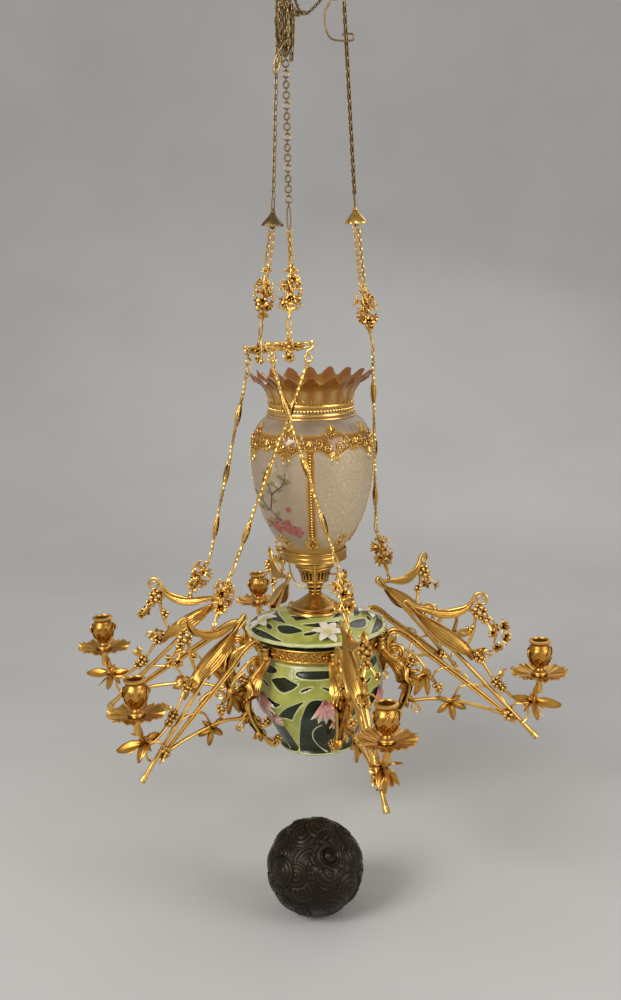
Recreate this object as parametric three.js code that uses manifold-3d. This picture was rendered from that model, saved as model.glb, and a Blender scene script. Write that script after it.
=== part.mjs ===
// A hanging kerosene lamp: a glazed pot in a gilt ring with six candle arms, an oil burner
// with a painted globe on the pot's lid, and three chains that rise over pulleys.
// Sizes are millimetres and angles are degrees. +Z is up, and the origin is the middle of the
// ceiling plate's flat top. An angle of 0 points to the front, along -Y, and 90 points along +X.

import * as THREE from 'three';
import { mergeVertices } from 'three/addons/utils/BufferGeometryUtils.js';
import Module from 'manifold-3d';

const wasm = await Module();
wasm.setup();

// Driving dimensions

const seatGap = 0.3;            // air between two pieces that rest on each other
const bite = 0.5;               // how far pieces that are cast as one reach into each other
const drop = 1033;              // ceiling to the middle of the carrier ring

const plate = { radius: 62, thickness: 5, neckRadius: 13, neckLength: 14 };
const pulley = { radius: 13, grooveRadius: 10, width: 9, boreRadius: 3, depth: 68, distance: 48 };
const fork = { cheek: 3, width: 7, hubRadius: 15, barRise: 5, pinRadius: 2.6 };

// The three chains hang from the pulleys, and the crown stands turned against the lamp.
// A chain's radii are those of its cap, its rosette's top and its rosette's foot. The rosette
// reaches from one drop below the cap's level to another.
const hangers = [
  { name: 'front', angle: 344.6, capped: false, spread: true, radii: [78, 88, 107], rosette: [81, 159] },
  { name: 'right', angle: 102.6, capped: true, spread: false, radii: [73, 84, 97], rosette: [116, 196] },
  { name: 'left', angle: 224.6, capped: true, spread: true, radii: [78, 88, 107], rosette: [83, 177] },
];
const crownTwist = -8.6;
const capTwist = -3.6;
const capDepth = 371;
const cap = { radius: 14, height: 19, wall: 1.6 };
const roundLink = { pitch: 22, width: 12, wire: 1.1 };
const sideLink = { pitch: 24, width: 9, wire: 1.1 };
const twinLink = { pitch: 30, width: 5.6, wire: 0.9, spacing: 7 };
const joinRing = { radius: 4.6, wire: 1.1 };
const eyeLoop = { length: 9, width: 8, wire: 1.3 };
const rosette = { flowerSpan: 10, flowerRadius: 13, core: 4 };
const spreader = { ringSpan: 27, reach: 36, height: 41, bar: 2, ringRadius: 6, ringWire: 1.5, lean: 8 };

// Each rod chain runs from a spreader's end ring to a joint, and a pendant hangs from there to an arm's eye.
const rodChains = [
  { name: 'front_right', hanger: 0, side: -1, arm: 0, joint: { radius: 163, angle: 11.9, depth: 880 } },
  { name: 'front_left', hanger: 0, side: 1, arm: 5, joint: { radius: 165, angle: 311.5, depth: 898 } },
  { name: 'left', hanger: 2, side: 1, arm: 4, joint: { radius: 173, angle: 257, depth: 917 } },
  { name: 'back_right', hanger: 1, side: 0, arm: 2, joint: { radius: 143, angle: 134.6, depth: 887 } },
  { name: 'back_left', hanger: 2, side: -1, arm: 3, joint: { radius: 150, angle: 197, depth: 895 } },
];
const rod = { radius: 2.1, knot: 3.2, knots: 4, linkLength: 13, linkWidth: 8, wire: 1.2 };
const linkPlay = 0.4;           // more air where two links meet at an angle
const ovalLink = { length: 22, width: 9, wire: 1.2 };
const pendantFlower = { radius: 15, share: 0.4 };

// The arms, with the radius of each arm's chain eye and its reach against the standard arm
const arms = [
  { name: 'front_right', angle: 14.6, eyeRadius: 188, stretch: 1, candle: true },
  { name: 'right', angle: 74.6, eyeRadius: 190, stretch: 0.98, candle: true },
  { name: 'back_right', angle: 134.6, eyeRadius: 174, stretch: 1, candle: false },
  { name: 'back_left', angle: 197, eyeRadius: 190, stretch: 1, candle: true },
  { name: 'left', angle: 257, eyeRadius: 206, stretch: 1.02, candle: true },
  { name: 'front_left', angle: 311.5, eyeRadius: 200, stretch: 0.95, candle: true },
];
const armWire = { rod: 3.2, arch: 2.9, stem: 2.3, tendril: 2 };

// The lines of the standard arm, as [outward, up] from the middle of the carrier ring
const armLines = {
  hairpin: [[341, -126], [164, 52], [153, 66], [146, 70], [142, 64], [166, 48], [216, 20], [248, -6]],
  arch: [[111, 0], [123, 18], [139, 16], [180, -15], [306, -103]],
  bracket: [[118, -20], [140, -38], [148, -58], [143, -88], [125, -118], [108, -140], [95, -152], [88, -148]],
  lowStem: [[143, -88], [215, -86], [306, -103]],
  vine: [[152, 66], [168, 58], [214, 58], [240, 66], [255, 86], [266, 76], [250, 22], [241, 0], [257, -8],
    [286, -50], [316, -76], [344, -76]],
};
const hairpinWidth = [1, 1, 1, 1, 1.2, 2, 3.6, 0.4];      // shares of the rod's size at each point
const hairpinDepth = [1, 1, 1, 1, 1, 1.4, 1.9, 0.4];
const bracketWidth = [5, 8, 11, 13, 10, 8, 7, 5, 2];
const scroll = { out: 127, up: -15, core: 5, growth: 2.6, points: 4 };
const ivyLeaf = { out: 215, up: -88, radius: 26 };
const grapes = { out: 250, up: 34, radius: 9 };
const knuckle = { out: 311, up: -88, width: 8, height: 44 };
const candleLeaf = { out: 318, up: -76, reach: 338, drop: -101, spread: 18, width: 7 };
const candle = { radius: 354, seatRadius: 5.5, spigotRadius: 3, spigotTop: -18, spigotFoot: -64 };
const cup = { rim: 18, height: 36, rimRadius: 15, bellyRadius: 19, socketRadius: 11.5, socketDepth: 22 };
const pan = { radius: 42, level: -34, thickness: 2.4, hubRadius: 10, lobes: 6 };

const pot = { wall: 5, bottom: -172, footRadius: 59, bellyRadius: 104, bellyLevel: -84,
  neckRadius: 88, top: 14 };
const ring = { clearance: 4, band: 6.5, halfHeight: 10 };
const ringInner = pot.neckRadius + ring.clearance;
const ringOuter = ringInner + ring.band;
const flangeRadius = ringOuter - 0.5;     // the pot's flange, which rests on the ring
const lid = { rimRadius: 110, rimLevel: 15, topRadius: 37, topLevel: 47, thickness: 5, holeRadius: 22 };
const font = { radius: 68, top: 8, height: 96, neckRadius: 20 };
const foot = { radius: 38.5, height: 38, neckRadius: 8.5, boreRadius: 4 };
const burner = { base: 86, rim: 126, rimRadius: 30, wall: 2, shelf: 6, slots: 8 };
const wick = { width: 22, thickness: 2.4, length: 46, top: 140 };
const knob = { radius: 8.5, reach: 52, angle: 66, level: 108, shaftRadius: 1.6, start: 15 };
const chimney = { radius: 24, wall: 1.4, seatRadius: 27, top: 352 };
const holder = { radius: 50, wall: 1.6, bottom: 132, top: 148, wire: 1.3, arms: 3, turn: 30 };
const globe = { wall: 2.4, ruffles: 9, rimRadius: 96, tipLevel: 423, dipLevel: 409 };
const globeOutline = [[64, 174], [82, 218], [93, 285], [90, 326], [65, 358], [64, 378]];
const weight = { radius: 67.5, plugRadius: 8.5, plugDepth: 9, tilt: 52, turn: 24 };
const weightPlace = { x: -9, y: -300, floor: 1333 };

// Finishes

const gilt = { color: 0xbe8c3c, roughness: 0.35, metalness: 0.9 };
const darkBrass = { color: 0x5a4b37, roughness: 0.5, metalness: 0.8 };
const satinBrass = { color: 0xc89646, roughness: 0.3, metalness: 0.95 };
const majolica = { color: 0xaab464, roughness: 0.25, metalness: 0 };
const frosted = { color: 0xb9af9b, roughness: 0.5, metalness: 0 };
const clearGlass = { color: 0xe8ece8, roughness: 0.05, metalness: 0 };
const bronze = { color: 0x322619, roughness: 0.5, metalness: 0.7 };
const cotton = { color: 0xe6e0cc, roughness: 0.9, metalness: 0 };

// Geometry helpers

const radians = THREE.MathUtils.degToRad;

function polar(radius, angle, z) {
  return new THREE.Vector3(radius * Math.sin(radians(angle)), -radius * Math.cos(radians(angle)), z);
}

// Merges shared corners, drops flat triangles and turns the faces outwards.
function closed(geometry) {
  const bare = geometry.clone();
  bare.deleteAttribute('normal');
  bare.deleteAttribute('uv');
  const merged = mergeVertices(bare, 1e-4);
  const corners = merged.index.array;
  const spot = merged.attributes.position;
  const kept = [];
  const [a, b, c] = [new THREE.Vector3(), new THREE.Vector3(), new THREE.Vector3()];
  let volume = 0;
  for (let i = 0; i < corners.length; i += 3) {
    const [p, q, r] = corners.slice(i, i + 3);
    if (p === q || q === r || r === p) continue;
    kept.push(p, q, r);
    a.fromBufferAttribute(spot, p);
    b.fromBufferAttribute(spot, q);
    volume += a.dot(b.cross(c.fromBufferAttribute(spot, r)));
  }
  if (volume < 0) kept.reverse();
  merged.setIndex(kept);
  return merged;
}

function solidOf(geometry) {
  const mesh = closed(geometry);
  const vertProperties = Float32Array.from(mesh.attributes.position.array);
  const triVerts = Uint32Array.from(mesh.index.array);
  return new wasm.Manifold(new wasm.Mesh({ numProp: 3, vertProperties, triVerts }));
}

function geometryOf(solid) {
  const mesh = solid.getMesh();
  const geometry = new THREE.BufferGeometry();
  geometry.setAttribute('position', new THREE.BufferAttribute(Float32Array.from(mesh.vertProperties), 3));
  geometry.setIndex(Array.from(mesh.triVerts));
  return geometry;
}

function joined(...pieces) {
  return geometryOf(pieces.flat().map(solidOf).reduce((whole, piece) => whole.add(piece)));
}

function cut(base, ...tools) {
  return geometryOf(tools.flat().map(solidOf).reduce((whole, tool) => whole.subtract(tool), solidOf(base)));
}

// Skins a row of rings that have the same number of points, and closes it with end caps or a loop.
function loft(rings, looped = false) {
  const count = rings[0].length;
  const corners = [];
  const rows = looped ? rings.length : rings.length - 1;
  for (let i = 0; i < rows; i++) {
    const next = (i + 1) % rings.length;
    for (let j = 0; j < count; j++) {
      const k = (j + 1) % count;
      const [a, b, c, d] = [i * count + j, i * count + k, next * count + k, next * count + j];
      corners.push(a, b, c, a, c, d);
    }
  }
  const last = (rings.length - 1) * count;
  for (let j = 1; !looped && j < count - 1; j++) {
    corners.push(0, j + 1, j, last, last + j, last + j + 1);
  }
  const geometry = new THREE.BufferGeometry();
  const spots = rings.flat().flatMap((point) => [point.x, point.y, point.z]);
  geometry.setAttribute('position', new THREE.BufferAttribute(new Float32Array(spots), 3));
  geometry.setIndex(corners);
  return closed(geometry);
}

// Carries a section along a path. Each section stands square to the path, near the side direction.
function sweep(path, section, side, looped = false) {
  const last = path.length - 1;
  const at = (i) => path[looped ? (i + path.length) % path.length : Math.min(Math.max(i, 0), last)];
  const rings = path.map((point, i) => {
    const along = at(i + 1).clone().sub(at(i - 1)).normalize();
    const across = side.clone().addScaledVector(along, -side.dot(along)).normalize();
    const third = new THREE.Vector3().crossVectors(along, across);
    const place = ([u, v]) => point.clone().addScaledVector(across, u).addScaledVector(third, v);
    return section(i / last).map(place);
  });
  return loft(rings, looped);
}

// A round section whose radius may change along the path, with a corner on the side direction
function round(radius, sides) {
  const size = typeof radius === 'function' ? radius : () => radius;
  return (t) => Array.from({ length: sides }, (_, i) => {
    const turn = (2 * Math.PI * i) / sides;
    return [size(t) * Math.cos(turn), size(t) * Math.sin(turn)];
  });
}

// A leaf's section: a flat diamond or a folded keel that swells to its full width and ends in a point
function bladeSection(width, thickness, keel = false) {
  return (t) => {
    const swell = Math.sin(Math.PI * Math.min(0.96, 0.14 + 0.82 * t));
    const [wide, deep] = [width * swell, thickness * swell];
    if (keel) return [[wide, deep], [-wide, deep], [0, -deep]];
    return [[wide, 0], [0, thickness], [-wide, 0], [0, -thickness]];
  };
}

const sideways = new THREE.Vector3(0, 1, 0);
const upward = new THREE.Vector3(0, 0, 1);

// A smooth path through points given as [outward, up] or [outward, up, sideways]
function smooth(points, steps) {
  const spots = points.map(([x, z, y = 0]) => new THREE.Vector3(x, y, z));
  return new THREE.CatmullRomCurve3(spots, false, 'centripetal').getPoints(steps);
}

function straight(points) {
  return points.map(([x, z, y = 0]) => new THREE.Vector3(x, y, z));
}

function stem(points, radius, steps, sides = 3) {
  return sweep(smooth(points, steps), round(radius, sides), sideways);
}

function blade(points, width, thickness, steps, keel = true) {
  return sweep(smooth(points, steps), bladeSection(width, thickness, keel), sideways);
}

// A solid turned about the Z axis from [radius, height] points, closed on itself where it is off the axis
function turned(profile, segments) {
  const onAxis = profile[0][0] === 0;
  const outline = onAxis ? profile : [...profile, profile[0]];
  const lathe = new THREE.LatheGeometry(outline.map(([r, z]) => new THREE.Vector2(r, z)), segments);
  return closed(lathe.rotateX(Math.PI / 2));
}

// A pointed star with two levels of points, like an open lily
function star(radius, share, petals, depth) {
  const count = 2 * petals;
  const rim = (z, grow) => Array.from({ length: count }, (_, i) => {
    const reach = (i % 2 === 0 ? radius : radius * share) * grow;
    const turn = (2 * Math.PI * i) / count;
    return new THREE.Vector3(reach * Math.cos(turn), reach * Math.sin(turn), z * (i % 2 === 0 ? 1 : 0.5));
  });
  return loft([rim(-depth / 2, 0.86), rim(depth / 2, 1)]);
}

function berry(x, y, z, radius) {
  return new THREE.OctahedronGeometry(radius, 0).translate(x, y, z);
}

// A wire loop in the XZ plane that hangs from its top: its ends are pointed so that links seat in them
function loop(length, width, wire, points = 6, sides = 3) {
  const path = Array.from({ length: points }, (_, i) => {
    const turn = (2 * Math.PI * i) / points;
    const [x, z] = [Math.sin(turn), Math.cos(turn)];
    const wide = points === 6 ? Math.sign(Math.round(x * 2)) : x;
    return new THREE.Vector3((width / 2) * wide, 0, (length / 2) * (z - 1));
  });
  const section = () => Array.from({ length: sides }, (_, i) => {
    const turn = Math.PI + (2 * Math.PI * i) / sides;
    return [wire * Math.sin(turn), wire * Math.cos(turn)];
  });
  return sweep(path, section, sideways, true);
}

// One link or eye whose top wire stands at z, in the XZ plane or turned across it
function linkAt({ length, width, wire }, z, across) {
  return loop(length, width, wire).rotateZ(across ? Math.PI / 2 : 0).translate(0, 0, z);
}

const eyeAt = (z, across) => linkAt(eyeLoop, z, across);
const ovalAt = (z, across) => linkAt(ovalLink, z, across);

// A run of fused links down the Z axis. The first link's top wire stands at 0, and the last link
// lies in the XZ plane, or across it.
function linkRun(length, style, lastAcross = false) {
  const grip = 2 * style.wire - bite;
  const count = 2 * Math.max(1, Math.round(length / style.pitch / 2)) + 1;
  const reach = (length + (count - 1) * grip) / count;
  return Array.from({ length: count }, (_, i) => {
    const across = (i % 2 === 1) !== lastAcross;
    const link = loop(reach, style.width, style.wire).rotateZ(across ? Math.PI / 2 : 0);
    return link.translate(0, 0, -i * (reach - grip));
  });
}

const model = new THREE.Group();

function addPiece(parent, name, geometry, finish) {
  const flat = geometry.index ? geometry.toNonIndexed() : geometry;
  flat.computeVertexNormals();
  const mesh = new THREE.Mesh(flat, new THREE.MeshStandardMaterial(finish));
  mesh.name = name;
  parent.add(mesh);
  return mesh;
}

// A group at one point whose -Z axis runs to another, with its -Y axis facing away from the lamp's middle
function lineGroup(from, to, angle) {
  const up = from.clone().sub(to).normalize();
  const facing = polar(-1, angle, 0);
  const across = new THREE.Vector3().crossVectors(facing, up).normalize();
  const inward = new THREE.Vector3().crossVectors(up, across);
  const group = new THREE.Group();
  group.position.copy(from);
  group.quaternion.setFromRotationMatrix(new THREE.Matrix4().makeBasis(across, inward, up));
  model.add(group);
  return group;
}

// Ceiling plate, pulley frame and pulleys

function ceilingPlate() {
  const { radius, thickness, neckRadius, neckLength } = plate;
  const under = -thickness - neckLength;
  return turned([[0, 0], [radius, 0], [radius, -thickness], [neckRadius * 1.8, under * 0.6],
    [neckRadius, under * 0.8], [neckRadius, under], [0, under]], 16);
}

// The frame stands under the plate: a hub, three bars that end in forks, and a pin across each fork.
function pulleyFrame() {
  const hubTop = -plate.thickness - plate.neckLength - seatGap;
  const hub = turned([[0, hubTop], [plate.neckRadius, hubTop], [fork.hubRadius, hubTop - 8],
    [fork.hubRadius - 3, -pulley.depth + 14], [0, -pulley.depth + 4]], 8);
  const inside = pulley.width / 2 + 0.8;
  const outside = inside + fork.cheek;
  const top = pulley.radius + fork.barRise;
  const foot = -fork.width;
  const under = top - fork.cheek;
  const corners = [[-outside, foot], [-inside, foot], [-inside, under], [inside, under], [inside, foot],
    [outside, foot], [outside, top], [-outside, top]];
  const outline = new THREE.Shape(corners.map(([x, y]) => new THREE.Vector2(x, y)));
  const forks = hangers.flatMap(({ angle }) => {
    const yoke = new THREE.ExtrudeGeometry(outline, { depth: fork.width, bevelEnabled: false });
    yoke.rotateX(Math.PI / 2).rotateZ(Math.PI / 2);
    yoke.translate(pulley.distance - fork.width / 2, 0, -pulley.depth);
    const bar = new THREE.BoxGeometry(pulley.distance, fork.width, fork.cheek + 1);
    bar.translate(pulley.distance / 2, 0, -pulley.depth + top - fork.cheek / 2 + 1);
    const pin = new THREE.CylinderGeometry(fork.pinRadius, fork.pinRadius, 2 * outside + 2, 6);
    pin.translate(pulley.distance, 0, -pulley.depth);
    return [bar, yoke, pin].map((piece) => piece.rotateZ(radians(angle + crownTwist - 90)));
  });
  return joined(hub, forks);
}

function pulleyWheel() {
  const { radius, grooveRadius, width, boreRadius } = pulley;
  const half = width / 2;
  const floor = half * 0.3;
  return turned([[boreRadius, -half], [radius, -half], [grooveRadius, -floor], [grooveRadius, floor],
    [radius, half], [boreRadius, half]], 12);
}

// The chain over the pulleys and its spare ends, gathered on one ring under the hub
const chainReach = pulley.grooveRadius + sideLink.wire + 1.4;
const chainStart = pulley.depth + pulley.radius + 2;
function gatheredChains() {
  const ringLevel = -pulley.depth - 36;
  const gatherRing = new THREE.TorusGeometry(9, 1.8, 4, 8).translate(0, 0, ringLevel);
  const runs = hangers.map(({ angle }) => {
    const arc = Array.from({ length: 5 }, (_, i) => {
      const turn = (Math.PI * i) / 4;
      return [pulley.distance + chainReach * Math.cos(turn), -pulley.depth + 1 + chainReach * Math.sin(turn)];
    });
    const route = straight([[pulley.distance + chainReach, -chainStart], ...arc,
      [26, -pulley.depth - 18], [9, ringLevel]]);
    return sweep(route, round(sideLink.wire, 3), sideways).rotateZ(radians(angle + crownTwist - 90));
  });
  const spare = loop(44, 12, 1.8, 8, 3).translate(0, 9, ringLevel + 1.8);
  return joined(gatherRing, runs, spare);
}

const ceilingPart = new THREE.Group();
model.add(ceilingPart);
addPiece(ceilingPart, 'ceiling_plate', ceilingPlate(), darkBrass);
addPiece(ceilingPart, 'pulley_frame', pulleyFrame(), darkBrass);
addPiece(ceilingPart, 'gathered_chains', gatheredChains(), darkBrass);
for (const { name, angle } of hangers) {
  const wheel = addPiece(ceilingPart, `pulley_${name}`, pulleyWheel(), darkBrass);
  wheel.position.copy(polar(pulley.distance, angle + crownTwist, -pulley.depth));
  wheel.rotation.set(Math.PI / 2, 0, radians(angle + crownTwist - 90), 'ZXY');
}

// Chains, caps, rosettes and spreaders

function upperChain(length, style, lastAcross) {
  return joined(linkRun(length, style, lastAcross));
}

// A hollow cone that covers the joint of two chains. It hangs on an eye and carries an eye.
function chainCap() {
  const { radius, height, wall } = cap;
  const top = -eyeLoop.length + 2;
  const neck = 3;
  const skirt = turned([[0, top], [neck, top], [radius, top - height], [radius - wall, top - height],
    [neck, top - wall - 3], [0, top - wall - 3]], 6);
  const tail = linkAt({ ...eyeLoop, length: capDrop + top - 3 }, top - 3, true);
  return joined(skirt, eyeAt(0, true), tail);
}
const capDrop = eyeLoop.length + cap.height + 3;

// Two strands of small links between two rings
function twinChain(length) {
  const { width, wire, spacing } = twinLink;
  const ringSize = 2 * joinRing.radius;
  const inset = ringSize - joinRing.wire - wire + bite;
  const endRing = { length: ringSize, width: spacing + 7, wire: joinRing.wire };
  const rings = [0, -length + ringSize].map((z) => linkAt(endRing, z, false));
  const strands = [-1, 1].flatMap((side) => linkRun(length - 2 * inset, twinLink, true)
    .map((link) => link.translate(side * spacing / 2, 0, -inset)));
  return joined(rings, strands);
}

// A cast spray: a spindle with an eye above and an oval link below, open flowers at its sides and leaves
function rosettePlaque(length) {
  const { flowerSpan, flowerRadius, core } = rosette;
  const middle = -length / 2;
  const heights = [-6, middle * 0.6, middle, middle * 1.5, -length + 2];
  const spindle = sweep(straight(heights.map((z) => [0, z])),
    round((t) => 2 + core * Math.sin(Math.PI * t), 4), sideways);
  const flowers = [-1, 1].map((side) => star(flowerRadius, 0.45, 5, 6).rotateX(Math.PI / 2)
    .rotateZ(side * 0.5).translate(side * flowerSpan, -1, middle - 3 * side));
  const leaves = [-1, 1].map((side) => [[0, middle * 1.1], [side * 5, middle * 0.7], [side * 9, -12]])
    .map((vein) => blade(vein, 5, 1.8, 2));
  const sepals = blade([[-9, -length + 12], [0, middle * 1.35], [9, -length + 12]], 5, 2, 4);
  return joined(spindle, eyeAt(0, true), ovalAt(-length + 4, true), flowers, leaves, sepals);
}

// An openwork plaque that spreads one chain to two: it carries a ring near each lower corner.
function spreaderPlaque() {
  const { ringSpan, reach, height, bar, ringRadius, ringWire } = spreader;
  const post = sweep(straight([[0, -7], [0, -height]]), round(2.4, 4), sideways);
  const heart = star(13, 0.4, 4, 5).rotateX(Math.PI / 2).translate(0, -1, -height * 0.55);
  const sides = [-1, 1].flatMap((side) => {
    const upper = [[0, -14], [14, -11], [28, -12], [reach, -18], [reach - 4, -26],
      [ringSpan + 1, -height + ringRadius]];
    const lower = [[0, -height + 3], [13, -height + 9], [reach - 4, -26]];
    const mirrored = (route) => straight(route.map(([x, z]) => [side * x, z]));
    const endRing = { length: 2 * ringRadius, width: 2 * ringRadius, wire: ringWire };
    return [
      sweep(mirrored(upper), round(bar, 3), sideways),
      sweep(mirrored(lower), round(bar * 0.9, 3), sideways),
      linkAt(endRing, -height + ringRadius, false).translate(side * ringSpan, 0, 0),
    ];
  });
  return joined(eyeAt(0, false), post, heart, sides);
}

const rodStarts = {};
const seat = (one, other) => one + other + seatGap + linkPlay;
function pointOn(group, x, y, z) {
  group.updateMatrixWorld(true);
  return new THREE.Vector3(x, y, z).applyMatrix4(group.matrixWorld);
}

for (const { name, angle, capped, spread, radii, rosette: [rosetteDrop, rosetteFootDrop] } of hangers) {
  const chainTop = -chainStart - sideLink.wire - seatGap;
  const topPoint = polar(pulley.distance + chainReach, angle + crownTwist, chainTop);
  const capPoint = polar(radii[0], angle + capTwist, -capDepth);
  const rosettePoint = polar(radii[1], angle, -capDepth - rosetteDrop);
  const rosetteAim = polar(radii[2], angle, -capDepth - rosetteFootDrop);
  const rosetteLength = rosettePoint.distanceTo(rosetteAim);
  const style = capped ? sideLink : roundLink;

  const upperLine = lineGroup(topPoint, capPoint, angle);
  const upperLength = topPoint.distanceTo(capPoint) + (capped ? 0 : capDrop);
  addPiece(upperLine, `upper_chain_${name}`, upperChain(upperLength, style, !capped), darkBrass);

  let hangDepth = upperLength - seat(style.wire, capped ? eyeLoop.wire : joinRing.wire);
  if (capped) {
    addPiece(upperLine, `chain_cap_${name}`, chainCap(), gilt).position.z = -hangDepth;
    hangDepth += capDrop - seat(eyeLoop.wire, joinRing.wire);
  }
  const twinTop = pointOn(upperLine, 0, 0, -hangDepth);
  const twinLine = lineGroup(twinTop, rosettePoint, angle);
  const twinLength = twinTop.distanceTo(rosettePoint);
  addPiece(twinLine, `twin_chain_${name}`, twinChain(twinLength), gilt);

  const rosetteTop = pointOn(twinLine, 0, 0, -twinLength + seat(joinRing.wire, eyeLoop.wire));
  const rosetteLine = lineGroup(rosetteTop, rosetteAim, angle);
  addPiece(rosetteLine, `rosette_${name}`, rosettePlaque(rosetteLength), gilt);

  const nextWire = spread ? eyeLoop.wire : rod.wire;
  const footLevel = -rosetteLength + 4 - ovalLink.length + seat(ovalLink.wire, nextWire);
  const rosetteFoot = pointOn(rosetteLine, 0, 0, footLevel);
  if (!spread) {
    rodStarts[`${name}0`] = { point: rosetteFoot, turn: angle };
    continue;
  }
  const spreaderLine = new THREE.Group();
  spreaderLine.position.copy(rosetteFoot);
  const turn = angle + (name === 'front' ? spreader.lean : 0);
  spreaderLine.rotation.z = radians(turn);
  model.add(spreaderLine);
  addPiece(spreaderLine, `spreader_${name}`, spreaderPlaque(), gilt);
  for (const side of [-1, 1]) {
    const wireLevel = -spreader.height - spreader.ringRadius + seat(spreader.ringWire, rod.wire);
    const point = pointOn(spreaderLine, side * spreader.ringSpan, 0, wireLevel);
    rodStarts[`${name}${side}`] = { point, turn: turn + 90 };
  }
}

// Rod chains and their pendant flowers

// A link, a knotted twig of a rod and an oval link, as one fused run
function rodChain(length, topTurn) {
  const grip = rod.wire + 1;
  const rodTop = -rod.linkLength + grip;
  const rodLength = length - rod.linkLength - ovalLink.length + 2 * grip;
  const steps = 2 * rod.knots;
  const spots = Array.from({ length: steps + 1 }, (_, i) => [0, rodTop - (rodLength * i) / steps]);
  const swell = (t) => (Math.round(t * steps) % 2 === 1 ? rod.knot : rod.radius);
  const twig = sweep(straight(spots), round(swell, 3), sideways);
  const top = loop(rod.linkLength, rod.linkWidth, rod.wire).rotateZ(radians(topTurn));
  return joined(top, twig, ovalAt(-length + ovalLink.length, false));
}

// An open lily spray on a stem, with an eye above and a hook ring below
function pendantSpray(length) {
  const { radius, share } = pendantFlower;
  const middle = -length * 0.42;
  const stalk = sweep(straight([[0, -6], [0, middle], [0, -length + 6]]), round(2.4, 3), sideways);
  const lily = star(radius, share, 5, 6).rotateX(Math.PI / 2 - 0.3).translate(0, -3, middle);
  const leaf = blade([[0, middle - 4], [8, middle - 14], [5, middle - 24]], 4, 1.8, 2);
  return joined(stalk, eyeAt(0, true), eyeAt(-length + eyeLoop.length, false), lily, leaf);
}

const vineLevel = 58;           // the vine that carries an arm's chain eye, above the carrier ring
for (const { name, hanger, side, arm, joint } of rodChains) {
  const from = rodStarts[`${hangers[hanger].name}${side}`];
  const { angle, eyeRadius } = arms[arm];
  const jointPoint = polar(joint.radius, joint.angle, -joint.depth);
  const line = lineGroup(from.point, jointPoint, angle);
  const chainLength = from.point.distanceTo(jointPoint);
  addPiece(line, `rod_chain_${name}`, rodChain(chainLength, from.turn - angle), gilt);

  const pendantTop = pointOn(line, 0, 0, -chainLength + seat(ovalLink.wire, eyeLoop.wire));
  const eyeLevel = vineLevel + eyeLoop.length - seat(eyeLoop.wire, eyeLoop.wire) - drop;
  const pendantFoot = polar(eyeRadius, angle, eyeLevel);
  const pendantLine = lineGroup(pendantTop, pendantFoot, angle);
  addPiece(pendantLine, `pendant_${name}`, pendantSpray(pendantTop.distanceTo(pendantFoot)), gilt);
}

// Everything below hangs on the carrier ring, whose middle is this group's origin.

const lamp = new THREE.Group();
lamp.position.z = -drop;
model.add(lamp);

function carrierRing() {
  const { halfHeight } = ring;
  const middle = (ringInner + ringOuter) / 2;
  return turned([[ringInner, -halfHeight * 0.7], [middle, -halfHeight], [ringOuter, -halfHeight * 0.5],
    [ringOuter, halfHeight * 0.5], [middle, halfHeight], [ringInner, halfHeight * 0.7]], 24);
}

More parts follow.
